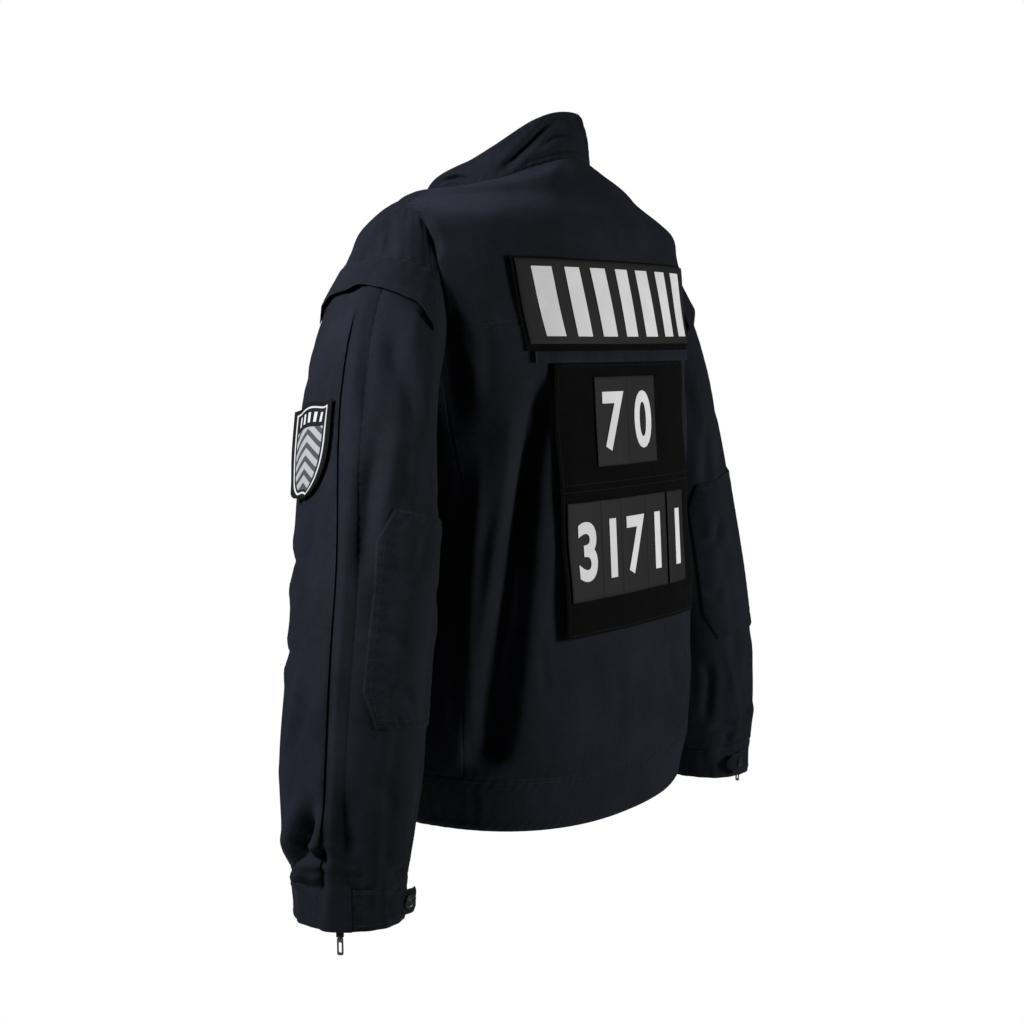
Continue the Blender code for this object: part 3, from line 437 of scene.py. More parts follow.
# lines of turn and height, then half width and depth
BODY_CREASES = (
    (((80, -0.052), (73, -0.066), (67, -0.084), (64, -0.105)), 11, 4.5),
    (((-79, -0.053), (-72, -0.069), (-66, -0.090)), 10, 3.5),
    (((57, -0.060), (42, -0.068), (28, -0.078), (16, -0.082)), 7, 1.6),
    (((40, -0.050), (26, -0.056), (8, -0.060)), 8, 1.1),
    (((35, -0.186), (40.5, -0.273), (47.5, -0.376), (52, -0.475), (53.5, -0.566)), 8, 7.5),
    (((53, -0.250), (57, -0.360), (58, -0.460), (58, -0.560)), 8, -2.5),
    (((70, -0.200), (73.5, -0.290), (74.5, -0.400), (73, -0.545)), 15, 8.0),
    (((3, -0.050), (1, -0.062), (2, -0.078)), 4, 1.4),
    (((-14, -0.052), (-18, -0.064), (-17, -0.080)), 4, 1.2),
    (((65, -0.118), (61, -0.150), (59, -0.205), (60, -0.265)), 16, 4.0),
    (((-62, -0.112), (-57, -0.150), (-54, -0.210)), 12, 5.0),
    (((48, -0.125), (47, -0.170), (50, -0.235)), 9, 2.6),
    (((52, -0.330), (54, -0.362), (60, -0.372)), 3, 0.4),
    (((49, -0.352), (53, -0.366), (58, -0.371)), 3, 0.4),
    (((49, -0.383), (53, -0.391), (58, -0.392)), 3, 0.4),
    (((51, -0.412), (54, -0.424), (59, -0.428)), 3, 0.4),
    (((44, -0.492), (39, -0.500), (34, -0.491)), 3, 0.9),
    (((38, -0.440), (37, -0.475), (36, -0.503)), 5, 0.8),
    (((-17, -0.420), (-21, -0.452), (-18, -0.498), (-24, -0.535)), 10, 3.2),
    (((-30, -0.440), (-33, -0.490), (-31, -0.545)), 9, 2.4),
    (((12, -0.470), (9, -0.515), (11, -0.560)), 12, 1.5),
    (((52, -0.470), (54, -0.520), (52, -0.560)), 6, 2.0),
    (((66, -0.280), (70, -0.340), (68, -0.420)), 9, 2.5),
    (((78, -0.300), (82, -0.380), (80, -0.470), (84, -0.540)), 11, 4.0),
    (((-76, -0.300), (-80, -0.370), (-78, -0.450)), 11, 4.0),
    (((100, -0.270), (104, -0.350), (101, -0.440), (103, -0.530)), 12, 4.5),
    (((-102, -0.280), (-105, -0.360), (-101, -0.470)), 12, 4.5),
    (((118, -0.140), (124, -0.200), (131, -0.270), (136, -0.340)), 12, 4.0),
    (((-117, -0.140), (-125, -0.210), (-133, -0.280)), 12, 4.0),
    (((140, -0.360), (146, -0.430), (144, -0.520)), 13, 3.5),
    (((-142, -0.380), (-147, -0.450), (-143, -0.530)), 13, 3.5),
    (((158, -0.150), (152, -0.190), (143, -0.220)), 9, 2.5),
    (((-159, -0.160), (-153, -0.200), (-146, -0.250)), 9, 2.5),
)
# lines of ring angle and station, then half width and depth
LEFT_CREASES = (
    (((-10, 0.10), (3, 0.40), (14, 0.70)), 6, 2.2),
    (((27, 1.20), (35, 1.55), (46, 1.90), (62, 2.50), (72, 3.10)), 13, 3.2),
    (((52, 2.90), (48, 3.50), (49, 4.15)), 9, -2.0),
    (((38, 3.20), (33, 3.75), (32, 4.30), (31, 5.10)), 9, 3.4),
    (((-12, 1.50), (-16, 2.30), (-12, 3.30)), 8, 1.8),
    (((14, 1.40), (19, 2.20), (22, 3.20)), 7, 1.4),
    (((90, 4.40), (84, 4.74), (72, 4.86)), 7, 1.3),
    (((48, 5.42), (60, 5.46), (72, 5.58), (82, 5.66)), 8, 1.2),
    (((56, 4.70), (66, 4.86), (76, 5.10)), 8, 1.6),
    (((62, 6.05), (78, 6.00), (96, 6.20)), 7, 2.0),
    (((-18, 4.10), (-23, 4.50), (-29, 4.95)), 5, -1.6),
    (((-12, 4.80), (-19, 5.20), (-28, 5.45)), 7, 2.0),
    (((-10, 5.55), (-15, 5.85), (-24, 6.30)), 5, -1.8),
    (((-3, 5.90), (-10, 6.40), (-22, 6.80)), 8, 2.6),
    (((12, 7.05), (8, 7.20), (-9, 7.95), (-38, 8.60), (-68, 9.22)), 9, 9.5),
    (((2, 7.50), (-22, 8.10), (-50, 8.80)), 13, 2.5),
    (((-26, 8.05), (-8, 8.18), (12, 8.14), (27, 8.06)), 5, 5.5),
    (((-22, 8.62), (0, 8.72), (18, 8.66)), 6, -2.6),
    (((33, 7.00), (37, 7.70), (42, 8.45)), 13, 3.0),
    (((46, 8.00), (50, 8.45), (49, 8.90)), 7, 0.7),
    (((60, 6.90), (72, 7.25), (90, 7.30)), 9, 1.3),
    (((66, 7.90), (80, 8.25), (98, 8.30)), 8, 1.4),
    (((78, 8.70), (94, 8.60), (112, 8.75)), 6, 2.6),
    (((112, 3.60), (126, 4.10), (150, 4.30)), 10, 3.0),
    (((118, 4.90), (136, 5.30), (160, 5.35)), 10, 4.0),
    (((-40, 4.60), (-66, 5.00), (-96, 5.05)), 9, 5.0),
    (((-38, 5.60), (-62, 5.85), (-100, 5.70)), 9, 5.0),
    (((-46, 6.70), (-76, 6.95), (-112, 6.70)), 10, 4.5),
    (((-52, 7.90), (-84, 8.10), (-120, 7.90)), 8, 4.5),
    (((-48, 1.60), (-70, 2.10), (-84, 2.90)), 11, 4.0),
    (((124, 6.42), (116, 7.00), (108, 7.60), (106, 9.10)), 4.5, -0.9),
)
RIGHT_CREASES = (
    (((-6, 0.16), (8, 0.52), (20, 0.92), (30, 1.30)), 6, 3.2),
    (((30, 1.20), (44, 1.80), (58, 2.50), (66, 3.20)), 10, 3.6),
    (((96, 2.40), (104, 3.10), (112, 3.80), (124, 4.30)), 9, 2.4),
    (((104, 4.70), (116, 5.05), (134, 5.10)), 7, 2.4),
    (((112, 5.50), (124, 5.75), (142, 5.70)), 7, 2.0),
    (((146, 6.60), (142, 7.00), (146, 7.50), (152, 8.10)), 7, 3.0),
    (((104, 8.20), (116, 8.10), (132, 8.06), (148, 8.20)), 5, 2.5),
    (((118, 8.34), (123, 8.52), (121, 8.86)), 5, 1.5),
    (((96, 8.60), (108, 8.45), (118, 8.62)), 6, -2.2),
    (((66, 6.40), (82, 6.85), (96, 7.00)), 9, 2.6),
    (((62, 7.60), (80, 7.90), (96, 7.80)), 8, 3.4),
    (((36, 3.40), (32, 4.10), (30, 5.00)), 9, 3.0),
    (((16, 7.00), (2, 7.60), (-16, 8.20), (-40, 8.60)), 9, 7.0),
    (((-22, 8.20), (-4, 8.36), (20, 8.26)), 5, 3.6),
    (((-40, 4.60), (-66, 5.00), (-98, 4.95)), 9, 5.0),
    (((-38, 5.70), (-64, 5.95), (-100, 5.80)), 9, 5.0),
    (((-48, 6.80), (-76, 7.10), (-110, 6.90)), 10, 4.5),
    (((-48, 1.60), (-68, 2.10), (-82, 2.80)), 11, 4.0),
    (((124, 6.42), (116, 7.00), (108, 7.60), (106, 9.10)), 4.5, -0.9),
)
# slow waves: length across, length along, phase, height in millimetres
BODY_WAVES = (
    (0.071, 0.43, 0.4, 0.55), (0.113, -0.29, 1.9, 0.8), (0.043, 0.90, 3.1, 0.25), (0.20, 0.17, 5.0, 0.8),
)
SLEEVE_WAVES = (
    (0.029, 0.60, 0.9, 0.45), (0.047, -0.35, 2.2, 0.75), (0.081, 0.21, 4.1, 0.8), (0.019, 1.2, 1.4, 0.18),
)
SPAN_BODY, SPAN_SLEEVE, SPAN_COLLAR = 0.205, 0.062, 0.085      # metres of cloth in one radian

# %% [markdown]
# The surfaces take a turn and a height on the body, or a ring angle and a station on a sleeve, and give a
# point. Numpy works on all points of a piece at once.

# %% Curves through the tables


def smooth(t):
    """0 below 0, 1 above 1, and an even swing between."""
    t = np.clip(t, 0.0, 1.0)
    return t * t * (3.0 - 2.0 * t)


def between(low, high, t):
    return low + (high - low) * t


def grids(first, second):
    """Two numbers or arrays as float arrays of one shape."""
    return np.broadcast_arrays(np.asarray(first, float), np.asarray(second, float))


def unit(vectors):
    return vectors / np.linalg.norm(vectors, axis=-1, keepdims=True)


def wrapped(angle):
    """An angle in degrees, from -180 up to 180."""
    return (angle + 180.0) % 360.0 - 180.0


def swing(t, start, leave, end, arrive, step=1.0):
    """A cubic curve from start to end that leaves and arrives with the given slopes."""
    return ((2 * t**3 - 3 * t**2 + 1) * start + (t**3 - 2 * t**2 + t) * leave * step
            + (3 * t**2 - 2 * t**3) * end + (t**3 - t**2) * arrive * step)


def read(table, key):
    """The table's other columns at a value of its first column, on a smooth curve through the rows."""
    rows = table if table[0, 0] < table[-1, 0] else table[::-1]
    keys, values = rows[:, 0], rows[:, 1:]
    key = np.clip(key, keys[0], keys[-1])
    i = np.clip(np.searchsorted(keys, key, side="right") - 1, 0, len(keys) - 2)
    step = (keys[i + 1] - keys[i])[..., None]
    t = (key - keys[i])[..., None] / step
    slope = np.gradient(values, keys, axis=0)
    return swing(t, values[i], slope[i], values[i + 1], slope[i + 1], step)


def crease_push(creases, scale, across, along):
    """How far the listed creases move the cloth, out from its form; across and along are in metres."""
    push = np.zeros_like(across)
    for line, wide, deep in creases:
        knots = np.array([scale(*knot) for knot in line])
        wide, deep = wide * CREASE_WIDE, deep * CREASE_DEEP
        lengths = np.linalg.norm(np.diff(knots, axis=0), axis=1)
        nearest, place, start = np.full_like(across, 1.0), np.zeros_like(across), 0.0
        for (a, b), (c, d), long in zip(knots, knots[1:], lengths):
            t = np.clip(((across - a) * (c - a) + (along - b) * (d - b)) / long**2, 0.0, 1.0)
            away = np.hypot(across - a - t * (c - a), along - b - t * (d - b))
            place = np.where(away < nearest, (start + t * long) / lengths.sum(), place)
            nearest = np.minimum(away, nearest)
            start += long
        fade = smooth(np.minimum(place, 1.0 - place) / CREASE_ENDS)
        beside = CREASE_RIDGE * np.exp(-((nearest / wide - 2.0) ** 2))
        push -= fade * deep * (np.exp(-(nearest / wide) ** 2) - beside)
    return push


def wave_push(waves, across, along):
    """Slow, shallow waves of hanging cloth."""
    return sum(high / 1000.0 * np.sin(2 * np.pi * (across / wide + along / long) + phase)
               for wide, long, phase, high in waves)


# %% The body's surface


def plain_body(turn, height):
    """The body without folds; turn is 0 at centre back, 90 at the left side and 180 at centre front."""
    turn, height = grids(turn, height)
    half, back, front, middle, square, back_lift, front_lift = np.moveaxis(read(BODY, height), -1, 0)
    s, c = np.sin(np.radians(turn)), np.cos(np.radians(turn))
    shrink = (np.abs(s) ** square + np.abs(c) ** square) ** (1.0 / square)
    depth, lift = np.where(c > 0, back, front), np.where(c > 0, back_lift, front_lift)
    return np.stack([half * s / shrink, middle + depth * c / shrink, height + lift * c * c], -1)


def body_scale(turn, height):
    return math.radians(turn) * SPAN_BODY, height


def body(turn, height):
    """The body with its folds, creases and slow waves."""
    turn, height = grids(turn, height)
    point = plain_body(turn, height)
    x, y, z = np.moveaxis(point, -1, 0)
    out = unit(point * (1.0, 1.0, 0.0))
    folds = np.zeros_like(x)
    for x_top, z_top, x_foot, z_foot, wide, deep, ridge in FOLDS:
        along = (z_top - z) / (z_top - z_foot)
        fade = smooth(along / FOLD_TOP) * smooth((1.0 - along) / FOLD_FOOT)
        across = (x - x_top - (x_foot - x_top) * np.clip(along, 0, 1) ** FOLD_BEND) / wide * np.sign(x_top)
        folds -= fade * deep * (np.exp(-across**2) - ridge * np.exp(-(across - 2.0) ** 2))
    folds *= smooth((FOLD_LIMIT - np.abs(turn)) / 5.0)
    around = np.radians(wrapped(turn)) * SPAN_BODY
    small = crease_push(BODY_CREASES, body_scale, around, height) + wave_push(BODY_WAVES, around, height)
    covered = smooth((COVER_HALF - np.abs(x)) / 0.012)
    covered = covered * smooth((COVER_TOP - z) / 0.01) * smooth((z - COVER_FOOT) / 0.012)
    small -= np.where(y > 0, covered, 0.0) * np.maximum(small, 0.0)
    small *= smooth((NECK - height) / 0.006) * smooth((height - WAIST) / 0.010)
    return point + out * (folds + small)[..., None]


def armhole(ring, grow=0.0):
    """Angle and height on the armhole; ring is 0 at its top, 90 at the back and 180 underneath."""
    t = np.radians(ring)
    bigger = 1.0 + grow / HOLE_HALF_HEIGHT
    return (HOLE_ANGLE - HOLE_HALF_ANGLE * bigger * np.sin(t),
            HOLE_HEIGHT + HOLE_HALF_HEIGHT * bigger * np.cos(t))


def hole_spread(height, grow=-LAP):
    """Half the armhole's angle at a height, 0 above and below it."""
    bigger = 1.0 + grow / HOLE_HALF_HEIGHT
    rise = (height - HOLE_HEIGHT) / (HOLE_HALF_HEIGHT * bigger)
    return HOLE_HALF_ANGLE * bigger * np.sqrt(np.clip(1.0 - rise**2, 0.0, 1.0))


def rim_height(stop):
    """Height on the body's side of the armhole seam."""
    return armhole(np.asarray(stop, float), -LAP)[1]


LENGTHS = np.linspace(NECK, HEM, 400)
SIDE_LINE = plain_body(70.0, LENGTHS)       # the line along which the cloth's length is measured
RUN = np.concatenate([[0.0], np.cumsum(np.linalg.norm(np.diff(SIDE_LINE, axis=0), axis=1))])


def run_at(height):
    """Metres of cloth from the neck down to a height."""
    return np.interp(-np.asarray(height, float), -LENGTHS, RUN)


def height_at(run):
    return -np.interp(run, RUN, -LENGTHS)


def front_edge(height):
    """Half the distance between the fronts: the zip's slot, and the opening at the neck above it."""
    return FRONT_SLOT + (V_TOP - FRONT_SLOT) * smooth((height - V_FOOT) / (NECK - V_FOOT))


def front_turn(height, aside=0.0):
    """The turn of a line on the front that lies front_edge, and a little aside, from its middle."""
    half = read(BODY, height)[..., 0]
    return 180.0 - np.degrees(np.arctan((front_edge(height) + aside) / half))


def side_back(height):
    """Turn of the side-back seam, which leaves the armhole and swings a little towards the back."""
    below = rim_height(BACK_STOP) - height
    return armhole(BACK_STOP, -LAP)[0] - SIDE_SWING * smooth(below / SWING_LONG)


# %% The sleeves' surface


def power(v, n):
    """A signed power that keeps the sign of its base."""
    return np.sign(v) * np.abs(v) ** n


def ring_point(ring, station):
    """A point of the sleeve's rings."""
    outer_x, outer_z, inner_x, inner_z, y, half, square = np.moveaxis(read(SLEEVE, station), -1, 0)
    t = np.radians(ring)
    c, s = power(np.cos(t), 2.0 / square), power(np.sin(t), 2.0 / square)
    return np.stack([(outer_x + inner_x) / 2 + (outer_x - inner_x) / 2 * c, y + half * s,
                     (outer_z + inner_z) / 2 + (outer_z - inner_z) / 2 * c], -1)


FIRST_RUN = 0.085       # metres of cloth above station 1
STATION_RUN = np.concatenate([[0.0], np.cumsum(np.hypot(
    np.diff((SLEEVE[:, 1] + SLEEVE[:, 3]) / 2), np.diff((SLEEVE[:, 2] + SLEEVE[:, 4]) / 2)))]) + FIRST_RUN


def station_run(station):
    """Metres down the sleeve at a station."""
    return np.interp(station, [0.0, *SLEEVE[:, 0]], [0.0, *STATION_RUN])


def sleeve_scale(ring, station):
    return math.radians(ring) * SPAN_SLEEVE, float(station_run(station))


def make_sleeve_surface(side):
    """The surface of one sleeve, written for the left side; the shells mirror it for the right."""
    creases = LEFT_CREASES if side > 0 else RIGHT_CREASES

    def surface(ring, station):
        ring, station = grids(ring, station)
        low = np.maximum(station, HEAD)
        turn, height = armhole(ring, LAP)
        start = body(turn * side, height) * (side, 1.0, 1.0)
        end = ring_point(ring, np.full_like(ring, HEAD))
        arrive = (ring_point(ring, np.full_like(ring, HEAD + 0.5)) - end) * 2.0 * HEAD
        leave = end - start
        leave = leave + PUFF * np.linalg.norm(leave, axis=-1, keepdims=True) * (1.0, 0.0, 0.0)
        t = np.clip(station / HEAD, 0.0, 1.0)[..., None]
        above = swing(t, start, leave, end, arrive)
        point = np.where((station < HEAD)[..., None], above, ring_point(ring, low))
        middle = (ring_point(np.zeros_like(ring), low) + ring_point(np.full_like(ring, 180.0), low)) / 2
        out = point - middle
        out = out / np.maximum(np.linalg.norm(out, axis=-1, keepdims=True), 1e-6)
        around = np.radians(wrapped(ring)) * SPAN_SLEEVE
        along = station_run(station)
        push = crease_push(creases, sleeve_scale, around, along) + wave_push(SLEEVE_WAVES, around, along)
        push *= smooth(station / 0.12) * (1.0 - CUFF_CALM * smooth((station - CUFF - 0.1) / 0.3))
        return point + out * push[..., None]

    return surface


SLEEVES = {1: make_sleeve_surface(1), -1: make_sleeve_surface(-1)}


def cap_station(ring):
    """Station of the seam under the shoulder cap; it comes to nothing where the cap meets the armhole."""
    ring = wrapped(np.asarray(ring))
    inside = np.abs(ring) <= CAP_HALF + 0.01
    swell = np.clip(np.cos(np.radians(ring * 90.0 / (CAP_HALF + 1.0))), 0.0, 1.0) ** 0.75
    return np.where(inside, CAP_DEEP * swell, 0.0)


def zip_slot(station):
    """Half the zip's slot as an angle of the sleeve's ring."""
    return np.degrees(ZIP_SLOT / read(SLEEVE, station)[..., 5])


def zip_side(station, direction):
    return read(ZIP_LINE, station)[..., 1] + direction * zip_slot(station)


PLACKET_TUCK = 6.8          # degrees of the placket that lie under the front half
SLIT, SLIT_WIDER, SLIT_CLOSES = 0.9, 3.6, 8.8       # degrees, degrees more on the arm, station by the cuff


def slit_side(station):
    """Where the front half ends, just ahead of the placket's free edge."""
    wider = SLIT_WIDER * smooth((SLIT_CLOSES - station) / 0.7)
    return 360.0 + read(ZIP_LINE, station)[..., 0] - SLIT - wider


# %% [markdown]
# ## From a surface to a piece of cloth
# A maker cuts a flat shape and sews its edges under. Here a flat grid is extruded to a wall and then laid
# on the surface. Its outer face rolls down along the edges, as a turned seam does, and puckers a little
# beside them, because thread draws cloth in. The flat place in metres is kept as a UV map, and the
# distance to the nearest edge as an attribute.

# %% Lay a shell on a surface
CELL = 0.0036                               # spacing of the grid over open cloth
RIM_STEPS, OPEN_FROM = np.array([0.0, 0.0007, 0.0017, 0.0032]), 0.0052
SHORT_SIDE, SHORT_LINES = 0.014, 7          # a side shorter than this gets a plain number of lines
ROLL, ROLL_WIDE = 0.0007, 0.0030
PUCKER, PUCKER_LONG, PUCKER_REACH = 0.00045, 0.0105, 0.013
NARROWEST = 0.0101                          # the zip tapes show less than they are wide
LEAST_SHARE = 0.31                          # of the rectangle round a cut, its smallest area
SMALL_TURN, SMALL_DOWN = 0.001, 0.00001     # steps that find a surface's directions
SIDES = ((1, "left"), (-1, "right"))
shells = {}


def marks(length, cell=CELL):
    """Places of the grid's lines along a side, from 0 to 1, closer together at both ends."""
    if length < SHORT_SIDE:
        return np.linspace(0.0, 1.0, SHORT_LINES)
    count = max(2, round((length - 2 * OPEN_FROM) / cell) + 1)
    open_lines = np.linspace(OPEN_FROM, length - OPEN_FROM, count)
    return np.concatenate([RIM_STEPS, open_lines, length - RIM_STEPS[::-1]]) / length


def with_offset(surface, u, v, offset):
    """Points of a surface moved out along its normal."""
    across = surface(u + SMALL_TURN, v) - surface(u - SMALL_TURN, v)
    down = surface(u, v + SMALL_DOWN) - surface(u, v - SMALL_DOWN)
    return surface(u, v) + unit(np.cross(down, across)) * np.asarray(offset)[..., None]


def grid_wall(columns, rows):
    """A flat, closed slab with the grid's lines, and each corner's column, row and side."""
    slab = bmesh.new()
    bmesh.ops.create_grid(slab, x_segments=columns - 1, y_segments=rows - 1, size=0.5)
    raised = bmesh.ops.extrude_face_region(slab, geom=slab.faces[:])
    top = [corner for corner in raised["geom"] if isinstance(corner, bmesh.types.BMVert)]
    bmesh.ops.translate(slab, verts=top, vec=(0.0, 0.0, 1.0))
    bmesh.ops.recalc_face_normals(slab, faces=slab.faces[:])
    mesh = as_mesh("slab", slab)
    flat = np.zeros(len(mesh.vertices) * 3)
    mesh.vertices.foreach_get("co", flat)
    flat = flat.reshape(-1, 3)
    column = np.rint((flat[:, 0] + 0.5) * (columns - 1)).astype(int)
    row = np.rint((flat[:, 1] + 0.5) * (rows - 1)).astype(int)
    return mesh, column, row, flat[:, 2] > 0.5


def add_piece(name, mesh, material, nodes=()):
    """Link a finished mesh, let it ride on its body and hide the solids that it stands for."""
    mesh.name = name
    mesh.materials.clear()
    mesh.materials.append(material)
    piece = bpy.data.objects.new(name, mesh)
    scene.collection.objects.link(piece)
    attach(piece, "jacket")
    if nodes:
        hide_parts(*nodes)
    return piece


def lay(name, surface, span, columns, rows, inner, outer, side=1, *, node, material=NAVY_CLOTH,
        roll=ROLL, pucker=PUCKER):
    mesh, column, row, raised = grid_wall(len(columns), len(rows))
    p, q = np.meshgrid(columns, rows)
    u, v = span(p, q)
    form = surface(u, v)
    steps_across = np.linalg.norm(np.diff(form, axis=1), axis=2)
    steps_down = np.linalg.norm(np.diff(form, axis=0), axis=2)
    across = np.concatenate([np.zeros((len(rows), 1)), np.cumsum(steps_across, axis=1)], axis=1)
    down = np.concatenate([np.zeros((1, len(columns))), np.cumsum(steps_down, axis=0)], axis=0)
    wide, long = across[:, -1:], down[-1:, :]
    rim = np.minimum(np.minimum(across, wide - across), np.minimum(down, long - down))
    beside = np.minimum(across, wide - across) < np.minimum(down, long - down)
    along = np.where(beside, down, across)
    phase = 1.3 if side > 0 else 0.2
    uneven = np.sin(along / PUCKER_LONG * 2 * np.pi + 1.7 * np.sin(along / 0.037) + phase)
    drawn = pucker * uneven * smooth(rim / 0.003) * np.exp(-rim / PUCKER_REACH)
    low, high = [edge(p, q) if callable(edge) else np.full_like(p, edge) for edge in (inner, outer)]
    turned = roll * (1.0 - smooth(rim / ROLL_WIDE)) ** 2
    inside = with_offset(surface, u, v, low + np.minimum(turned, (high - low) * 0.3) + drawn)
    outside = with_offset(surface, u, v, high - turned + drawn)
    points = np.where(raised[:, None], outside[row, column], inside[row, column]) * (side, 1.0, 1.0)
    mesh.vertices.foreach_set("co", points.astype(np.float32).ravel())
    i, j = len(rows) // 2, len(columns) // 2
    turn = np.cross(form[i, j + 1] - form[i, j - 1], form[i + 1, j] - form[i - 1, j])
    if np.dot(turn, (outside - inside)[i, j]) * side < 0:
        mesh.flip_normals()
    corners = np.zeros(len(mesh.loops), int)
    mesh.loops.foreach_get("vertex_index", corners)
    centred = across - wide / 2
    flat = np.stack([centred[row, column], down[row, column]], -1)[corners]
    mesh.uv_layers.new(name="cut").data.foreach_set("uv", flat.astype(np.float32).ravel())
    edge = mesh.attributes.new("rim", "FLOAT", "POINT")
    edge.data.foreach_set("value", rim[row, column].astype(np.float32))
    mesh.shade_smooth()
    mesh.set_sharp_from_angle(angle=math.radians(55))
    mesh.update()
    piece = add_piece(name, mesh, material, [node])
    area = float((steps_across[:-1] * steps_down[:, :-1]).sum())
    cut = (max(float(wide.max()), NARROWEST), float(long.max()))
    area = min(max(area, LEAST_SHARE * cut[0] * cut[1]), cut[0] * cut[1])
    shells[name] = (*cut, area)


def both_sides(make):
    """Run a function for the left side and for the right."""
    for side, word in SIDES:
        make(side, word)


# %% [markdown]
# ## Yoke, back, side panels and fronts
# The yoke is one piece over both shoulders; the back panel hangs from it. Rows of the grid meet the
# armhole at fixed angles, so that body and sleeve share the same curve there.

# %% Back, sides and fronts
HOLE_STEP = 3.5                             # degrees of the armhole from row to row


def with_fine_ends(heights):
    """Heights down a panel with closer rows at its two ends."""
    run = run_at(heights)
    first, last = run[0], run[-1]
    kept = run[(run > first + 0.0045) & (run < last - 0.0045)]
    return height_at(np.concatenate([first + RIM_STEPS, kept, last - RIM_STEPS[::-1]]))


def run_heights(top, foot):
    """Heights spaced evenly along the cloth."""
    low, high = run_at(top), run_at(foot)
    return height_at(np.linspace(low, high, max(3, round(float(high - low) / CELL) + 1)))


def hole_heights(first, last):
    """Heights at even angles of the armhole."""
    return rim_height(np.linspace(first, last, round((last - first) / HOLE_STEP) + 1))


def at_rows(q, heights):
    return np.interp(q, np.linspace(0.0, 1.0, len(heights)), heights)


def make_back():
    yoke_heights = with_fine_ends(np.concatenate([
        run_heights(NECK, rim_height(0))[:-1], hole_heights(0, YOKE_STOP)[:-1],
        [rim_height(YOKE_STOP) - LAP]]))
    panel_heights = with_fine_ends(np.concatenate([
        [rim_height(YOKE_STOP) + LAP], hole_heights(YOKE_STOP, BACK_STOP)[1:],
        run_heights(rim_height(BACK_STOP), WAIST - LAP)[1:]]))

    def yoke(p, q):
        height = at_rows(q, yoke_heights)
        share = (NECK - height) / (NECK - yoke_heights[-1])
        half = HOLE_ANGLE + LAP_TURN - hole_spread(height)
        turn = between(-half, half, p)
        return turn, height + YOKE_RISE * share**2 * (1.0 - (turn / half) ** 2)

    def panel(p, q):
        height = at_rows(q, panel_heights)
        above = height > rim_height(BACK_STOP)
        half = np.where(above, HOLE_ANGLE - hole_spread(height), side_back(height)) + LAP_TURN
        turn = between(-half, half, p)
        rise = YOKE_RISE * np.exp((height - panel_heights[0]) / 0.035)
        return turn, height + rise * (1.0 - (turn / half) ** 2)

    lay("yoke_cloth", body, yoke, marks(0.47), np.linspace(0, 1, len(yoke_heights)), -CLOTH, 0.0,
        node="back_yoke")
    lay("back_cloth", body, panel, marks(0.45), np.linspace(0, 1, len(panel_heights)), -CLOTH, 0.0,
        node="back_panel")


def make_side_panel(side, word):
    def span(p, q):
        turn, top = armhole(between(BACK_STOP, 360.0 - FRONT_STOP, p), -LAP)
        height = height_at(between(run_at(top), run_at(WAIST - LAP), q))
        turn = turn + (side_back(height) - side_back(top)) * (1.0 - p)
        return (turn - LAP_TURN * (1.0 - 2.0 * p)) * side, height

    lay(f"side_cloth_{word}", body, span, marks(0.165), marks(0.335), -CLOTH, 0.0, node=f"side_panel_{word}")


def front_heights():
    return np.concatenate([run_heights(NECK, rim_height(0))[:-1], hole_heights(0, FRONT_STOP)[:-1],
                           run_heights(rim_height(FRONT_STOP), WAIST - LAP)])


def make_front(side, word):
    heights = with_fine_ends(front_heights())
    side_front = armhole(360.0 - FRONT_STOP, -LAP)[0]

    def span(p, q):
        height = at_rows(q, heights)
        low = np.where(height < rim_height(FRONT_STOP), side_front, HOLE_ANGLE + hole_spread(height))
        return between(low - LAP_TURN, front_turn(height), p) * side, height

    lay(f"front_cloth_{word}", body, span, marks(0.24), np.linspace(0, 1, len(heights)), -CLOTH, 0.0,
        node=f"front_{word}")


make_back()
both_sides(make_side_panel)
both_sides(make_front)
print("body pieces", {name: [round(v, 3) for v in cut] for name, cut in shells.items()})

# %% [markdown]
# ## Collar and waistband
# The collar is two layers, pushed up by the neck behind and lying open in front, with slanting creases
# where it leans on the neck. The waistband has elastic at its sides, so it gathers there.

# %% Collar and waistband
COLLAR_CREASES = (
    (((66, 0.10), (46, 0.45), (26, 0.74), (10, 0.80)), 6.0, 3.4),
    (((36, 0.34), (20, 0.52), (2, 0.50)), 4.0, 2.9),
    (((4, 0.96), (-10, 0.78), (-24, 0.42), (-30, 0.20)), 6.0, 3.8),
    (((-36, 0.90), (-50, 0.60), (-58, 0.24)), 4.0, 3.5),
    (((84, 0.20), (96, 0.50), (112, 0.70)), 4.0, 2.9),
    (((-88, 0.20), (-100, 0.50), (-116, 0.70)), 4.0, 2.9),
    (((60, 0.16), (30, 0.14), (0, 0.17), (-30, 0.14)), 3.0, 1.6),
)
COLLAR_HIGH, COLLAR_TUCK = 0.046, -0.06     # its foot goes down inside the neck seam
BAND_LAP = 0.0016                           # how far the band reaches over the front zip's tapes
GATHERS = ((0.0160, 0.3, 1.30), (0.0245, 1.9, 0.90), (0.0091, 4.0, 0.35))     # length, phase, height in mm
GATHER_FROM, GATHER_TO, GATHER_LEAST = 50.0, 132.0, 0.04        # degrees, and what is left elsewhere
PIPING, PIPING_AT, PIPING_WIDE = 0.0009, 0.90, 0.04


def collar_scale(turn, rise):
    return math.radians(turn) * SPAN_COLLAR, rise * COLLAR_HIGH


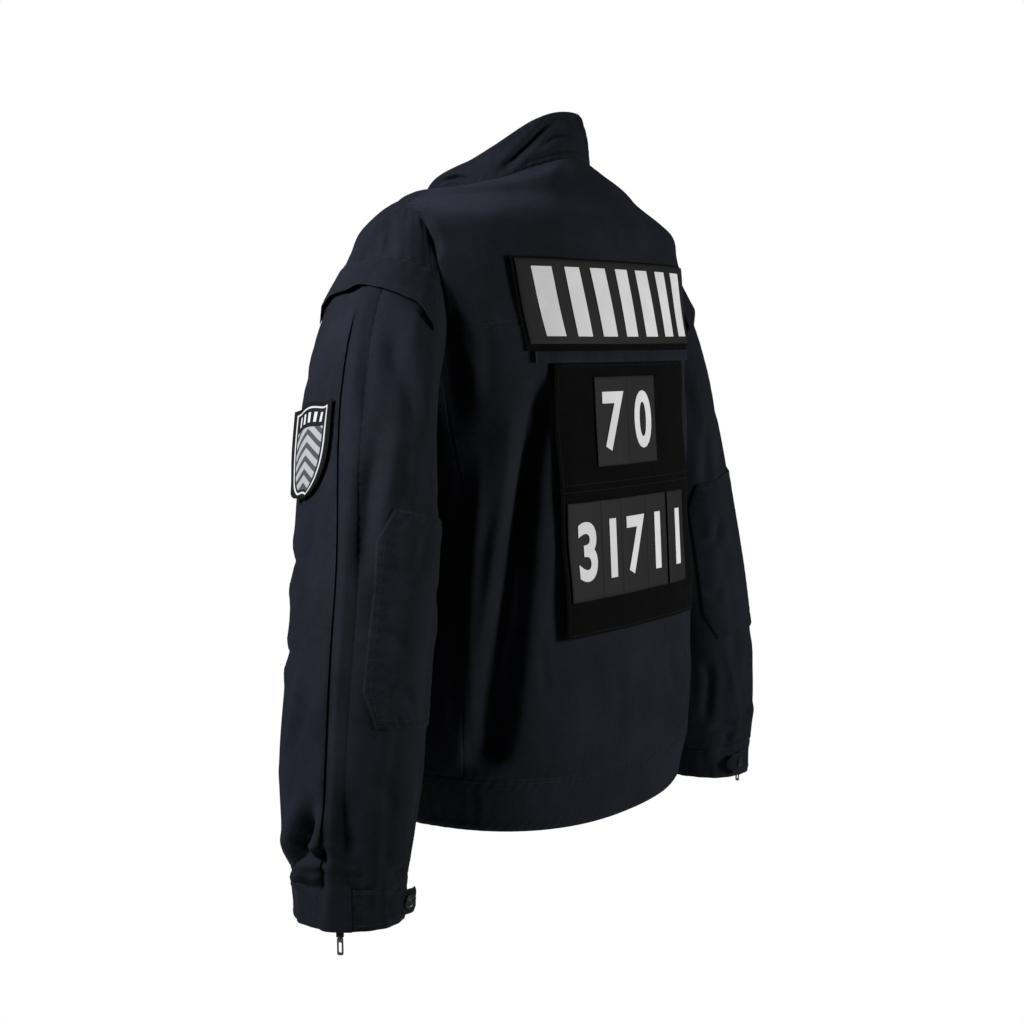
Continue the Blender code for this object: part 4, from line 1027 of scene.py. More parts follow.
def collar(turn, rise):
    """The collar; rise is 0 at the neck seam and 1 at its upper edge."""
    turn, rise = grids(turn, rise)
    base = plain_body(turn, np.full_like(turn, NECK))
    out = unit(base * (1.0, 1.0, 0.0))
    high, lean = np.moveaxis(read(COLLAR, np.abs(turn)), -1, 0)
    push = crease_push(COLLAR_CREASES, collar_scale, np.radians(turn) * SPAN_COLLAR, rise * COLLAR_HIGH)
    push += 0.0009 * np.sin(turn / 9.0 + 2.0 * rise) * smooth(rise)
    sideways = rise**2 * lean - 1.5 * GAP + push * smooth(rise / 0.12)
    upwards = (GAP + rise * high)[..., None] * np.array((0.0, 0.0, 1.0))
    return base + upwards + sideways[..., None] * out


def make_collar_and_waistband():
    def collar_span(p, q):
        end = front_turn(np.array(NECK)) - 0.5
        return between(end, -end, p), between(1.0, COLLAR_TUCK, q)

    def band_span(p, q):
        height = between(WAIST + LAP, HEM, q)
        end = front_turn(height, -BAND_LAP)
        return between(-end, end, p), height

    def gathers(p, q):
        turn = (p - 0.5) * 355.0
        where = smooth((np.abs(turn) - GATHER_FROM) / 14.0) * smooth((GATHER_TO - np.abs(turn)) / 12.0)
        where = where + GATHER_LEAST
        around = np.radians(turn) * SPAN_BODY
        uneven = 0.65 + 0.35 * np.sin(around / 0.021)
        aside = around + 0.001 * np.sin(q * 5.0 + around * 60)
        folds = sum(high / 1000.0 * np.sin(2 * np.pi * aside / long + phase)
                    for long, phase, high in GATHERS)
        piping = PIPING * np.exp(-((q - PIPING_AT) / PIPING_WIDE) ** 2)
        return where * uneven * folds * np.sin(np.pi * (0.10 + 0.80 * q)) ** 0.8 + piping

    lay("collar_cloth", collar, collar_span, marks(0.50, 0.003), marks(0.046, 0.0022), -DOUBLE, 0.0,
        node="collar", pucker=0.0006)
    lay("waistband_cloth", plain_body, band_span, marks(1.20, 0.0016), marks(0.056, 0.0026),
        lambda p, q: gathers(p, q) - DOUBLE, gathers, node="waistband")


make_collar_and_waistband()

# %% [markdown]
# ## Sleeves
# A cap covers the shoulder; below its seam hangs a free flap. The sleeve's two halves meet along a zip on
# the outer side, under a placket, and underneath the arm. An elbow patch is sewn on, and the cuff closes
# with a tab and a press stud.

# %% Sleeve pieces
OVER_SLEEVE, OVER_BACK, OVER_PLATE, PLATE = 0.0011, 0.0007, 0.0005, 0.0017
ELBOW_BACK, ELBOW_SIDE, ELBOW_CHAMFER, ELBOW_TOP, ELBOW_FOOT = 41.0, 142.0, 13.0, 4.15, 6.38
TAB_FROM, TAB_TO, TAB_HALF, TAB_LIFT, STUD_AT = 78.0, 128.0, 0.31, 0.0060, 108.0
TAB_STATION, TAB_DIP = CUFF + 0.5, 0.0020
PLACKET_SUNK, PLACKET_RISE, PLACKET_DIP = 0.0020, 0.0022, 0.0046    # metres under and over the sleeve


def cap_span(p, q):
    ring = between(-CAP_HALF, CAP_HALF, p)
    return ring, between(0.0, cap_station(ring) + LAP_STATION, q)


def flap_span(p, q):
    ring = between(-CAP_HALF + 4.0, CAP_HALF - 4.0, p)
    deep = FLAP_DEEP * between(0.72, 1.0, ((ring - 5.0) / CAP_HALF) ** 2)
    back, front = np.maximum(2 * p - 1, 0.0) ** 3, np.maximum(1 - 2 * p, 0.0) ** 3
    return ring + q * (FLAP_BACK * back - FLAP_FRONT * front), cap_station(ring) + 0.01 + q * deep


def flap_lift(p, q):
    return OVER_SLEEVE + (0.0036 + 0.0009 * np.sin(p * 17.0)) * q * between(0.4, 1.0, smooth(p / 0.3))


def half_span(first, last):
    """A sleeve half between two lines, each a number of degrees or a function of the station."""
    def line(edge, station):
        return edge(station) if callable(edge) else edge

    def span(p, q):
        at_cap = np.full_like(p, CAP_DEEP)
        guess = between(line(first, at_cap), line(last, at_cap), p)
        station = between(np.maximum(cap_station(guess) - LAP_STATION, 0.0), CUFF + LAP_STATION, q)
        return between(line(first, station), line(last, station), p), station
    return span


def elbow_span(p, q):
    corner = np.maximum(np.abs(2 * q - 1) - 0.66, 0.0) / 0.34 * ELBOW_CHAMFER
    return between(ELBOW_BACK + corner, ELBOW_SIDE - corner, p), between(ELBOW_TOP, ELBOW_FOOT, q)


def placket_span(p, q):
    station = between(cap_station(12.0) + 0.25, SLEEVE_END, q)
    line = read(ZIP_LINE, station)
    return between(line[..., 0] - PLACKET_TUCK, line[..., 2], p), station


def placket_lift(p, q):
    """The rounded free edge rises out of a slit; the other edge is sewn down flush."""
    free = smooth(q / 0.1) * (1.0 - 0.5 * smooth((q - 0.86) / 0.08))
    cuff = smooth((q - 0.86) / 0.04)
    edge = 1.0 - smooth((p - 0.25) / 0.12)
    sunk = PLACKET_SUNK * smooth((p - 0.78) / 0.18) * (1.0 - cuff)
    rise = PLACKET_RISE * between(0.65, 1.0, free) * np.exp(-((p - 0.47) / 0.20) ** 2)
    return 0.0004 + 0.0008 * cuff - PLACKET_DIP * free * edge + rise - sunk


def tape_span(p, q):
    station = between(cap_station(12.0) + 0.02, SLEEVE_END - 0.135, q)
    return read(ZIP_LINE, station)[..., 1] + zip_slot(station) * 0.91 * (2 * p - 1), station


def cuff_span(p, q):
    station = between(CUFF, SLEEVE_END, q)
    return between(zip_side(station, 1), slit_side(station), p), station


def tab_span(p, q):
    point = np.maximum(p - 0.78, 0.0) / 0.22
    half = TAB_HALF * (1.0 - 0.75 * point)
    return between(TAB_FROM, TAB_TO, p), TAB_STATION + (2 * q - 1) * half


def tab_lift(ring):
    along = np.asarray(ring) - TAB_FROM
    return OVER_SLEEVE - TAB_DIP * (1.0 - smooth(along / 15.0)) + TAB_LIFT * smooth((along - 18.0) / 26.0)


def make_sleeve(side, word):
    surface = SLEEVES[side]

    def tab_surface(ring, station):
        return with_offset(surface, ring, station, tab_lift(ring))

    def cuff_folds(p, q):
        return 0.0005 * np.sin(p * 41.0 + 1.0) + 0.0004 * np.sin(p * 97.0)

    cap, cloth = f"cap_cloth_{word}", f"sleeve_back_cloth_{word}"
    lay(cap, surface, cap_span, marks(0.24), marks(0.085, 0.003), -CLOTH, 0.0, side,
        node=f"shoulder_cap_{word}", pucker=0.0007)
    lay(cloth, surface, half_span(lambda s: zip_side(s, 1), 180.0 + LAP_TURN),
        marks(0.17, 0.0034), marks(0.52, 0.0036), -CLOTH, 0.0, side, node=f"sleeve_back_{word}")
    lay(f"sleeve_front_cloth_{word}", surface, half_span(180.0 - LAP_TURN, slit_side),
        marks(0.19, 0.0036), marks(0.52, 0.0038), -CLOTH, 0.0, side, node=f"sleeve_front_{word}")
    lay(f"flap_cloth_{word}", surface, flap_span, marks(0.19, 0.003), marks(0.033, 0.0025), flap_lift,
        lambda p, q: flap_lift(p, q) + CLOTH, side, node=f"overlap_flap_{word}")
    lay(f"elbow_cloth_{word}", surface, elbow_span, marks(0.12, 0.003), marks(0.175, 0.003),
        OVER_SLEEVE - 0.0007, OVER_SLEEVE + CLOTH - 0.0005, side, node=f"elbow_patch_{word}",
        pucker=0.0007)
    lay(f"placket_cloth_{word}", surface, placket_span, marks(0.022, 0.0025), marks(0.54, 0.004),
        placket_lift, lambda p, q: placket_lift(p, q) + CLOTH * (1.0 - 0.75 * p), side,
        node=f"sleeve_placket_{word}", pucker=0.0)
    lay(f"sleeve_tape_{word}", surface, tape_span, marks(0.0075), marks(0.55, 0.008), -TAPE, 0.0, side,
        material=ZIP_TAPE, node=f"sleeve_zip_{word}", pucker=0.0,
        roll=0.0002)
    lay(f"cuff_cloth_{word}", surface, cuff_span, marks(0.33, 0.003), marks(0.037, 0.0026),
        lambda p, q: cuff_folds(p, q) - DOUBLE, cuff_folds, side, node=f"cuff_{word}",
        pucker=0.0006)
    lay(f"tab_cloth_{word}", tab_surface, tab_span, marks(0.046, 0.0025), marks(0.023, 0.0022), 0.0, CLOTH,
        side, node=f"cuff_tab_{word}")


both_sides(make_sleeve)
faces = sum(len(bpy.data.objects[name].data.polygons) for name in shells)
print("pieces laid", len(shells), "faces", faces)

# %% [markdown]
# ## Signs, loop panels and tiles
# What lies on the back is stiffer than cloth, so it rides on a smooth surface that grows flatter towards
# the panel's foot, where it stands off the back. Its edges wave a little.

# %% Plates on the back
SIGN_LEFT_TOP, SIGN_LEFT_FOOT, SIGN_RIGHT = 0.160, 0.150, -0.150
SIGN_TOP, SIGN_FOOT, SIGN_STRIP_FOOT = -0.093, -0.173, -0.1795
CHANNEL_FOOT, CHANNEL_HALF = -0.1905, 0.145
PANEL_HALF, PANEL_SEAM, PANEL_FOOT, PANEL_FLAT = 0.125, -0.311, -0.455, 0.25
NUMBER_TOP, NUMBER_FOOT, NUMBER_EDGES = -0.205, -0.292, (0.068, 0.012, -0.044)
ROW_TOP, ROW_FOOT = -0.325, -0.420
ROW_EDGES = ((0.119, 0.068), (0.068, 0.034), (0.034, -0.016), (-0.016, -0.056), (-0.060, -0.100))
FIRST, SECOND = OVER_BACK, OVER_BACK + PLATE + OVER_PLATE
CHANNELS = (0.128, 0.082, 0.048, 0.016, -0.034, -0.072, -0.112)     # stitch lines of the channelled strip
CHANNEL_SWELL, PLATE_CELL, PLATE_ROLL = 0.0016, 0.005, 0.0005
PILE, GREY = (FIRST, LOOP_PILE, "loop_pile"), (SECOND, SIGN_GREY, "sign_grey")


def back_turn(x, height):
    """The turn on the body's back where its half width is cut at x."""
    half, _, _, _, square, _, _ = np.moveaxis(read(BODY, height), -1, 0)
    share = np.clip(x / half, -0.999, 0.999)
    return np.degrees(np.arctan2(share, (1.0 - np.abs(share) ** square) ** (1.0 / square)))


def back_plate(x, z):
    """A smooth surface over the back for what is sewn or stuck on it, flatter towards its foot."""
    x, z = grids(x, z)
    height = z
    for _ in range(3):
        lift = read(BODY, height)[..., 5]
        height = z - lift * np.cos(np.radians(back_turn(x, height))) ** 2
    half, deep, _, middle, square, _, _ = np.moveaxis(read(BODY, height), -1, 0)
    rim = (1.0 - np.abs(x / half) ** square) ** (1.0 / square)
    flat = PANEL_FLAT * smooth((CHANNEL_FOOT - z) / (CHANNEL_FOOT - PANEL_FOOT))
    wave = 0.0011 * (1 + np.sin(z * 58.0 + 0.6)) * smooth((np.abs(x) - 0.07) / 0.06)
    wave = wave + 0.0006 * (1 + np.sin(x * 70.0))
    return np.stack([x, middle + deep * (rim + (1.0 - rim) * flat) + wave, z], -1)


def rectangle(left, right, top, foot):
    return lambda p, q: (between(left, right, p), between(top, foot, q))


def sign_span(top, foot, grow):
    def span(p, q):
        z = between(top, foot, q)
        left = np.interp(z, (SIGN_FOOT, SIGN_TOP), (SIGN_LEFT_FOOT, SIGN_LEFT_TOP))
        return between(left + grow, SIGN_RIGHT - grow, p), z
    return span


def channel_swell(p, q):
    x = between(CHANNEL_HALF, -CHANNEL_HALF, p)
    nearest = np.min([np.abs(x - line) for line in CHANNELS], axis=0)
    return FIRST + CLOTH + CHANNEL_SWELL * smooth(nearest / 0.012)


def plate(name, node, layer, span, wide, long):
    """A stiff piece on the back, of loop pile or of the signs' grey weave."""
    base, material, slot = layer
    lay(name, back_plate, span, marks(wide, PLATE_CELL), marks(long, PLATE_CELL), base, base + PLATE,
        material=material, node=node, pucker=0.0,
        roll=PLATE_ROLL)


def tile(name, node, left, right, top, foot, long):
    plate(name, node, GREY, rectangle(left - GAP / 2, right + GAP / 2, top, foot), abs(left - right), long)


plate("sign_strip", "sign_loop_strip", PILE, sign_span(SIGN_TOP + 0.002, SIGN_STRIP_FOOT, 0.003), 0.31, 0.09)
plate("sign", "back_sign", GREY, sign_span(SIGN_TOP, SIGN_FOOT, 0.0), 0.30, 0.08)
lay("channels", back_plate, rectangle(CHANNEL_HALF, -CHANNEL_HALF, SIGN_STRIP_FOOT - GAP, CHANNEL_FOOT),
    marks(0.29, 0.0024), marks(0.011), FIRST, channel_swell, node="channel_strip",
    pucker=0.0)
plate("loop_upper", "loop_panel_upper", PILE,
      rectangle(PANEL_HALF, -PANEL_HALF, CHANNEL_FOOT - GAP, PANEL_SEAM + GAP / 2), 0.25, 0.12)
plate("loop_lower", "loop_panel_lower", PILE,
      rectangle(PANEL_HALF, -PANEL_HALF, PANEL_SEAM - GAP / 2, PANEL_FOOT), 0.25, 0.144)
for count, (left, right) in enumerate(zip(NUMBER_EDGES, NUMBER_EDGES[1:]), 1):
    tile(f"number_{count}", f"number_tile_{count}", left, right, NUMBER_TOP, NUMBER_FOOT, 0.087)
for count, (left, right) in enumerate(ROW_EDGES, 1):
    tile(f"row_{count}", f"row_tile_{count}", left, right, ROW_TOP, ROW_FOOT, 0.095)

# %% [markdown]
# The figures are plain numbers. Each starts as text, becomes a mesh, is cut into narrow strips so that it
# can bend, and is then laid on its tile. The long sign carries a row of slanted bars in the same film.

# %% Figures and bars
FILM, UNDER_FILM = 0.0005, 0.0003
FIGURE_HIGH, FIGURE_BOLD, FIGURE_ROOM = 0.058, 0.028, 0.84     # height, thickening, share of a tile
BAR_HIGH, BAR_WIDE, BAR_PITCH, BAR_SLANT, BAR_COUNT = 0.066, 0.0235, 0.0412, 0.012, 7


def bend_on_plate(name, flat):
    """Lay a flat shape, drawn in x and y with its thickness in z, on the tiles."""
    for places, across in ((np.arange(-0.16, 0.17, 0.005), (1.0, 0.0, 0.0)),
                           (np.arange(-0.42, -0.08, 0.007), (0.0, 1.0, 0.0))):
        for place in places:
            bmesh.ops.bisect_plane(flat, geom=flat.verts[:] + flat.edges[:] + flat.faces[:],
                                   plane_co=Vector(across) * place, plane_no=across)
    points = np.array([corner.co[:] for corner in flat.verts])
    lifted = with_offset(back_plate, points[:, 0], points[:, 1], SECOND + PLATE + points[:, 2])
    for corner, point in zip(flat.verts, lifted):
        corner.co = point
    bmesh.ops.recalc_face_normals(flat, faces=flat.faces[:])
    add_piece(name, as_mesh(name, flat), LETTERING)


def figure(name, text, left, right, top, foot):
    """One bold number in the middle of its tile."""
    words = bpy.data.curves.new(name, "FONT")
    words.body = text
    words.extrude = FILM / 2
    words.offset = FIGURE_BOLD
    words.resolution_u = 5
    outline = bpy.data.objects.new(name, words)
    scene.collection.objects.link(outline)
    bpy.context.view_layer.update()
    ready = outline.evaluated_get(bpy.context.evaluated_depsgraph_get())
    mesh = bpy.data.meshes.new_from_object(ready)
    bpy.data.objects.remove(outline)
    flat = bmesh.new()
    flat.from_mesh(mesh)
    bmesh.ops.remove_doubles(flat, verts=flat.verts[:], dist=0.00001)
    corners = np.array([corner.co[:] for corner in flat.verts])
    low, high = corners.min(0), corners.max(0)
    tall = FIGURE_HIGH / (high[1] - low[1])
    broad = min(0.92 * tall, FIGURE_ROOM * (left - right) / (high[0] - low[0]))
    for corner in flat.verts:
        x, y, z = corner.co
        corner.co = ((left + right) / 2 - (x - (low[0] + high[0]) / 2) * broad,
                     (top + foot) / 2 + (y - (low[1] + high[1]) / 2) * tall, z + FILM / 2 + UNDER_FILM)
    bend_on_plate(name, flat)


def make_figures():
    for count, (text, left, right) in enumerate(zip("70", NUMBER_EDGES, NUMBER_EDGES[1:]), 1):
        figure(f"figure_upper_{count}", text, left, right, NUMBER_TOP, NUMBER_FOOT)
    for count, (text, (left, right)) in enumerate(zip("31711", ROW_EDGES), 1):
        figure(f"figure_lower_{count}", text, left, right, ROW_TOP, ROW_FOOT)


def make_bars():
    flat = bmesh.new()
    middle = (SIGN_LEFT_TOP + SIGN_LEFT_FOOT) / 4 + SIGN_RIGHT / 2
    for count in range(BAR_COUNT):
        centre = middle + (count - (BAR_COUNT - 1) / 2) * BAR_PITCH
        place = Matrix.Translation((centre, (SIGN_TOP + SIGN_FOOT) / 2, FILM / 2 + UNDER_FILM))
        lean = Matrix.Shear("XZ", 4, (0.0, 0.0))
        lean[0][1] = BAR_SLANT / BAR_HIGH
        size = Matrix.Diagonal((BAR_WIDE, BAR_HIGH, FILM, 1.0))
        bmesh.ops.create_cube(flat, size=1.0, matrix=place @ lean @ size)
    bend_on_plate("sign_bars", flat)


make_figures()
make_bars()

# %% [markdown]
# ## Sleeve badge
# An embroidered shield: a raised, overlocked rim, a dark ground, a pale line inside it, and a field of
# chevrons under a row of short bars. Its pattern is drawn from the distance to the rim, kept as an
# attribute, and from the flat place in the UV map.

# %% Badge
BADGE_RING, BADGE_HALF, BADGE_TOP, BADGE_FOOT, BADGE_SHOULDER = -28.0, 25.0, 2.80, 4.14, 0.35
BADGE_RIM, BADGE_LINE, BADGE_FOOT_WIDE = 0.0032, (0.0050, 0.0064), 1.005
BADGE_YARN, BADGE_TWIST, BADGE_BARS, BADGE_CHEVRONS = 0.0007, 0.0016, 0.0075, 0.0125   # from one to the next
UNDER_BADGE, BADGE_OFF_FRONT, BADGE_OFF_BACK = 0.0008, 0.0065, 0.0020


def badge_span(p, q):
    down = np.maximum((q - BADGE_SHOULDER) / (BADGE_FOOT_WIDE - BADGE_SHOULDER), 0.0)
    half = BADGE_HALF * np.sqrt(np.clip(1.0 - down**2.6, 0.0, 1.0))
    return BADGE_RING + half * (2 * p - 1), between(BADGE_TOP, BADGE_FOOT, q)


def make_badge_finish():
    badge = Finish("badge", 0.75, Specular_IOR_Level=0.1, Sheen_Weight=0.02)
    rim = badge.attribute("rim")
    flat = badge.cloth_place()
    across, down = badge.axis(flat, 0), badge.axis(flat, 1)
    thread = across.wave(BADGE_YARN)
    twist = (across + down).wave(BADGE_TWIST)
    near, far = BADGE_LINE
    line = rim.step(near - 0.0003, near) * (1.0 - rim.step(far, far + 0.0003))
    inside = rim.step(far + 0.0024, far + 0.0027)
    field = inside * down.step(0.0238, 0.0241)
    bars = inside * (1.0 - down.step(0.0195, 0.0198)) * down.step(0.0100, 0.0103)
    bars = bars * across.wave(BADGE_BARS, "COSINE").step(0.05, 0.25)
    slope = down - across.math("ABSOLUTE") * 0.7
    chevrons = field * slope.wave(BADGE_CHEVRONS).step(0.05, 0.30)
    tone = badge.noise(flat, 700.0, 2.0)
    colour = badge.blend((0.004, 0.004, 0.005), (0.012, 0.012, 0.014), tone)
    colour = badge.blend(colour, (0.34, 0.35, 0.37), field)
    colour = badge.blend(colour, (0.060, 0.063, 0.072), chevrons)
    colour = badge.blend(colour, (0.55, 0.56, 0.58), (line + bars).math("MINIMUM", 1.0))
    edge = 1.0 - rim.step(BADGE_RIM - 0.0004, BADGE_RIM)
    colour = badge.blend(colour, (0.0042, 0.0042, 0.0052), edge)
    height = line * 0.5 + bars * 0.5 + chevrons * 0.4 + edge * 1.0 + thread * 0.12 + twist * edge * 0.3
    return badge.done(colour, badge.bump(height, 0.0005, 0.8))


def badge_lift(p, q):
    """The badge is stiffer than the sleeve, so its sides stand off, most at the front."""
    front, back = np.maximum(1 - 2 * p, 0.0) ** 2, np.maximum(2 * p - 1, 0.0) ** 2
    return UNDER_BADGE + front * BADGE_OFF_FRONT + back * BADGE_OFF_BACK


lay("badge", SLEEVES[1], badge_span, marks(0.062, 0.0013), marks(0.082, 0.0015), badge_lift,
    lambda p, q: badge_lift(p, q) + CLOTH + 0.0004,
    material=make_badge_finish(), node="sleeve_badge",
    pucker=0.0, roll=0.0008)

# %% [markdown]
# ## Zips
# The tapes carry moulded teeth, small blocks that interlock from both sides. Sliders and pulls keep their
# solids; the sliders get dark paint, and the pulls show more bare metal.

# %% Zip tapes and teeth
TOOTH_PITCH, TOOTH, TOOTH_ASIDE = 0.0026, (0.0034, 0.0013, 0.0022), 0.0012
ON_TAPE = 0.0003                            # height of the teeth's middle over the tape


def place_on(surface, u, v, offset, side=1):
    """Points on a surface, each with three directions: across, along the line of points, and out."""
    points = with_offset(surface, u, v, np.full(len(u), offset))
    out = with_offset(surface, u, v, np.full(len(u), offset + 0.001)) - points
    along = np.gradient(points, axis=0)
    for array in (points, out, along):
        array[:, 0] *= side
    along = unit(along)
    out = unit(out - along * (out * along).sum(1, keepdims=True))
    return points, np.cross(along, out), along, out


def placed(point, x, y, z):
    """The matrix of a point and its three directions."""
    place = Matrix((x, y, z)).transposed().to_4x4()
    place.translation = Vector(point)
    return place


def matrices(surface, u, v, offset, pitch, side=1):
    """Matrices at an even pitch along a line of a surface."""
    heights = np.full(len(u), offset)
    points = with_offset(surface, u, v, heights)
    run = np.concatenate([[0.0], np.cumsum(np.linalg.norm(np.diff(points, axis=0), axis=1))])
    stops = np.arange(pitch / 2, run[-1], pitch)
    if len(stops) < 2:
        return []
    u, v, heights = (np.interp(stops, run, values) for values in (u, v, heights))
    return [placed(*spot) for spot in zip(*place_on(surface, u, v, heights, side))]


def teeth(name, surface, u, v, offset, side=1):
    """Two combs of small blocks that mesh on the line."""
    comb = bmesh.new()
    for count, place in enumerate(matrices(surface, u, v, offset, TOOTH_PITCH / 2, side)):
        shift = Matrix.Translation((TOOTH_ASIDE if count % 2 else -TOOTH_ASIDE, 0.0, 0.0))
        bmesh.ops.create_cube(comb, size=1.0, matrix=place @ shift @ Matrix.Diagonal((*TOOTH, 1.0)))
    add_piece(name, as_mesh(name, comb), TEETH)


def make_zips():
    heights = with_fine_ends(np.concatenate([front_heights(), np.linspace(WAIST - 2 * LAP, HEM, 16)]))

    def tape(p, q):
        height = at_rows(q, heights)
        return front_turn(height, between(-GAP, -FRONT_SLOT + GAP + 0.0001, p)), height

    for side, word in SIDES:
        lay(f"front_tape_{word}", lambda u, v, side=side: body(u * side, v) * (side, 1.0, 1.0), tape,
            marks(0.007), np.linspace(0, 1, len(heights)), -TAPE, 0.0, side, material=ZIP_TAPE,
            node=f"front_zip_{word}", pucker=0.0,
            roll=0.0002)
        station = np.linspace(cap_station(12.0) + 0.05, SLEEVE_END - 0.16, 300)
        teeth(f"sleeve_teeth_{word}", SLEEVES[side], read(ZIP_LINE, station)[:, 1], station, ON_TAPE, side)
    height = np.linspace(V_FOOT - 0.012, HEM + 0.002, 400)
    teeth("front_teeth", body, np.full(400, 180.0), height, ON_TAPE)


make_zips()
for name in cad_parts:
    if "slider" in name or "pull" in name:
        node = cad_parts[name]
        node.data.materials.clear()
        node.data.materials.append(BARE_METAL if "pull" in name else DARK_METAL)

# %% [markdown]
# ## Press studs
# A stud's cap is turned: a flat ring round a shallow dome. A profile is spun round its axis and then set on
# the tab.

# %% Press studs
STUD_RADIUS, STUD_OFF = 0.0065, 0.0010
STUD_PROFILE = ((0.0, 0.0012), (0.0022, 0.0010), (0.0036, 0.0004), (0.0042, 0.0006), (0.0052, 0.0011),
                (0.0061, 0.0009), (STUD_RADIUS, 0.0002), (0.0062, -0.0008), (0.0, -0.0008))


def make_stud(side, word):
    surface = SLEEVES[side]
    spots = place_on(lambda u, v: with_offset(surface, u, v, tab_lift(u)),
                     np.array([STUD_AT, STUD_AT + 1.0]), np.full(2, TAB_STATION), CLOTH + STUD_OFF, side)
    stud = bmesh.new()
    knots = [stud.verts.new((radius, 0.0, rise)) for radius, rise in STUD_PROFILE]
    for first, second in zip(knots, knots[1:]):
        stud.edges.new((first, second))
    bmesh.ops.spin(stud, geom=stud.verts[:] + stud.edges[:], axis=(0, 0, 1), cent=(0, 0, 0), steps=24,
                   angle=2 * math.pi, use_merge=True)
    bmesh.ops.remove_doubles(stud, verts=stud.verts[:], dist=0.00001)
    bmesh.ops.transform(stud, matrix=placed(*(part[0] for part in spots)), verts=stud.verts[:])
    bmesh.ops.recalc_face_normals(stud, faces=stud.faces[:])
    mesh = as_mesh("stud", stud)
    mesh.shade_smooth()
    mesh.set_sharp_from_angle(angle=math.radians(45))
    add_piece(f"stud_{word}", mesh, DARK_METAL, [f"cuff_stud_{word}"])


both_sides(make_stud)

# %% [markdown]
# ## Stitches
# Topstitching holds the seams flat and shows how the jacket is made. Every stitch is a small, low bead of
# thread, laid at an even pitch along a line of its piece.

# %% Stitches
STITCH_PITCH, STITCH = 0.0031, (0.00024, 0.00115, 0.00020)
LINE_POINTS, ON_CLOTH, ON_GATHERS, ON_CUFF = 240, 0.0001, 0.0002, 0.0003


def sew(name, lines):
    """Stitches along several lines: each has a surface, its places, a height over it and a side."""
    thread = bmesh.new()
    for surface, u, v, offset, side in lines:
        u, v = grids(u, v)
        for place in matrices(surface, u, v, offset, STITCH_PITCH, side):
            bmesh.ops.create_icosphere(thread, subdivisions=1, radius=1.0,
                                       matrix=place @ Matrix.Diagonal((*STITCH, 1.0)))
    mesh = as_mesh(name, thread)
    mesh.shade_smooth()
    add_piece(name, mesh, THREAD)
    print(name, len(mesh.polygons) // 20, "stitches")


def seam_lines(span, surface, offset, side, places):
    """Lines across or down a piece: each place is ('p' or 'q', its value, start, end)."""
    lines = []
    for axis, value, start, end in places:
        t = np.linspace(start, end, LINE_POINTS)
        fixed = np.full(LINE_POINTS, value)
        u, v = span(fixed, t) if axis == "p" else span(t, fixed)
        lines.append((surface, u, v, offset, side))
    return lines


def four_sides(aside, shift, start, end):
    """The places of a line along each side of a piece: aside from p's ends and shift from q's."""
    return [("p", aside, start, end), ("p", 1 - aside, start, end),
            ("q", shift, start, end), ("q", 1 - shift, start, end)]


def sew_body():
    lines = []

    def on_body(turn, height):
        lines.append((body, turn, height, ON_CLOTH, 1))

    seam = np.linspace(rim_height(BACK_STOP) - 0.004, WAIST + 0.002, LINE_POINTS)
    front = np.linspace(V_FOOT, WAIST + 0.002, LINE_POINTS)
    ring = np.linspace(8.0, 172.0, 200)
    aside = (HOLE_HALF_ANGLE + 1.6) * np.sin(np.radians(ring))
    for side, _ in SIDES:
        on_body((side_back(seam) - 1.5) * side, seam)
        on_body((armhole(360.0 - FRONT_STOP, -LAP)[0] + 1.5) * side, seam)
        for sign in (1, -1):
            on_body((HOLE_ANGLE - sign * aside) * side,
                    HOLE_HEIGHT + (HOLE_HALF_HEIGHT + 0.005) * np.cos(np.radians(ring)))
        on_body(front_turn(front, 0.007) * side, front)
    half = HOLE_ANGLE - hole_spread(rim_height(YOKE_STOP))
    turn = np.linspace(-half + 0.6, half - 0.6, 300)
    on_body(turn, rim_height(YOKE_STOP) + 0.004 + YOKE_RISE * (1.0 - (turn / half) ** 2))
    sew("body_stitches", lines)


def sew_bands():
    end = float(front_turn(np.array(WAIST))) - 1.5
    turn = np.linspace(-end, end, 700)
    lines = [(plain_body, turn, height, ON_GATHERS, 1) for height in (WAIST - 0.004, HEM + 0.006)]
    end = float(front_turn(np.array(NECK))) - 4.0
    turn = np.linspace(-end, end, 400)
    lines += [(collar, turn, rise, ON_CLOTH, 1) for rise in (0.90, 0.07)]
    sew("band_stitches", lines)


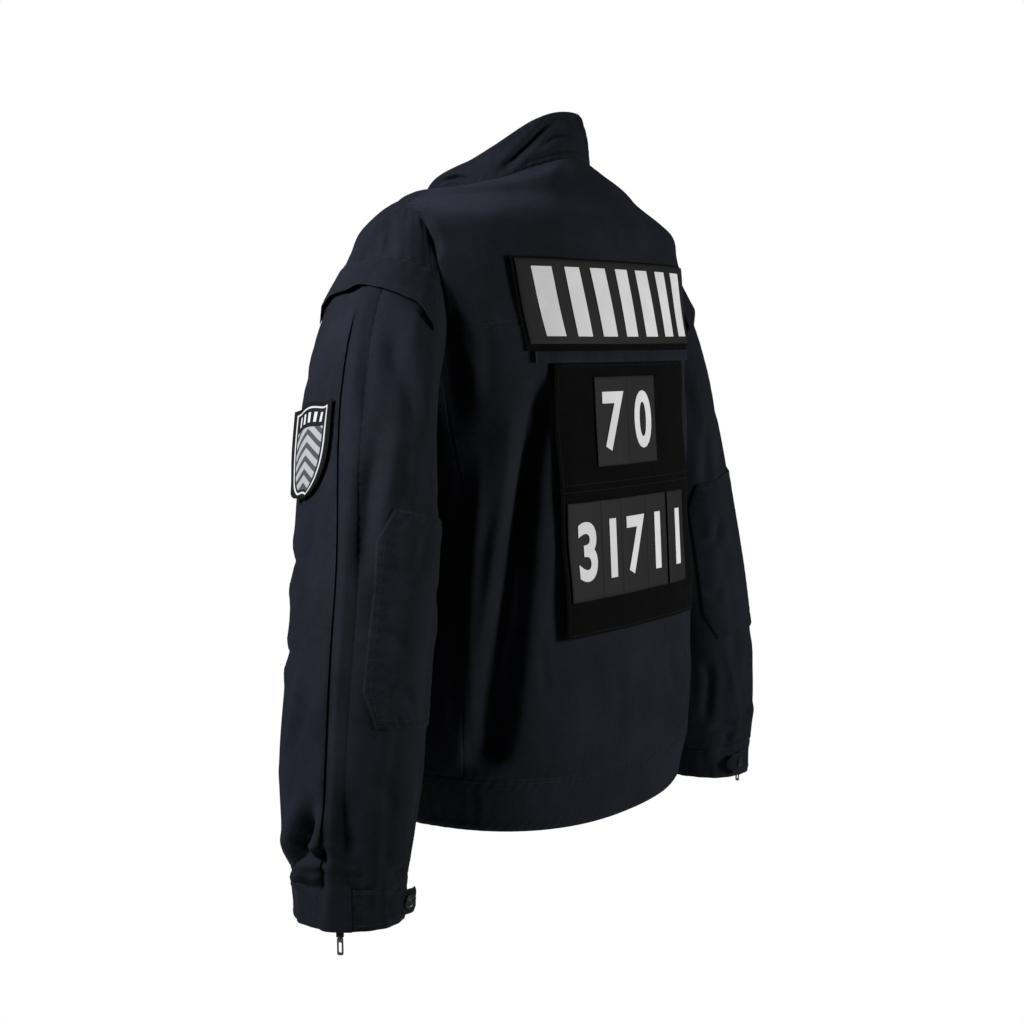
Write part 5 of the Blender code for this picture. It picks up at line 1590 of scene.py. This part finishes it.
def sew_sleeve(side, word):
    surface = SLEEVES[side]
    lines = seam_lines(cap_span, surface, ON_CLOTH, side, [("q", 0.93, 0.06, 0.94)])
    on_flap = flap_lift(np.linspace(0.02, 0.98, LINE_POINTS), 0.82) + CLOTH
    lines += seam_lines(flap_span, surface, on_flap, side, [("q", 0.82, 0.02, 0.98)])
    on_patch = OVER_SLEEVE + CLOTH - 0.0004
    for gap in (0.018, 0.060):
        lines += seam_lines(elbow_span, surface, on_patch, side, four_sides(gap, gap * 0.7, gap, 1 - gap))
    rows = [("q", 0.10, 0.02, 0.98), ("q", 0.86, 0.02, 0.98)]
    lines += seam_lines(cuff_span, surface, ON_CUFF, side, rows)
    forearm = np.linspace(ELBOW_FOOT + 0.02, CUFF - 0.03, 200)
    ring = np.interp(forearm, (6.4, 7.6, 9.0), (124.0, 108.0, 106.0))
    lines += [(surface, ring, forearm, ON_CLOTH, side), (surface, ring - 3.4, forearm, ON_CLOTH, side)]
    sew(f"sleeve_stitches_{word}", lines)


def sew_plates():
    panel = rectangle(PANEL_HALF, -PANEL_HALF, CHANNEL_FOOT, PANEL_FOOT)
    sign = sign_span(SIGN_TOP, SIGN_FOOT, 0.0)
    places = four_sides(0.014, 0.012, 0.02, 0.98) + [("q", 0.469, 0.01, 0.99), ("q", 0.443, 0.01, 0.99)]
    lines = seam_lines(panel, back_plate, FIRST + PLATE, 1, places)
    places = [("p", 0.010, 0.03, 0.97), ("p", 0.990, 0.03, 0.97),
              ("q", 0.035, 0.01, 0.99), ("q", 0.965, 0.01, 0.99)]
    lines += seam_lines(sign, back_plate, SECOND + PLATE, 1, places)
    down = np.linspace(SIGN_STRIP_FOOT - 0.0008, CHANNEL_FOOT + 0.0004, 12)
    lines += [(back_plate, line, down, FIRST + CLOTH, 1) for line in CHANNELS]
    sew("plate_stitches", lines)


sew_body()
sew_bands()
both_sides(sew_sleeve)
sew_plates()

# %% [markdown]
# ## Finish
# The floor gets its own matt finish.

# %% Floor finish and sizes
paint = Finish("floor_paint", 0.9, Specular_IOR_Level=0.1)
spot = paint.node("ShaderNodeTexCoord", output=3)
tone = paint.blend(grey(0.93), grey(0.96), paint.noise(spot, 0.8))
floor_mesh.materials.append(paint.done(tone, paint.bump(paint.noise(spot, 30.0), 0.0005, 0.1)))
for name, (wide, long, area) in shells.items():
    print(f"cut {name}: {wide:.3f} x {long:.3f} m, {area:.4f} m2")
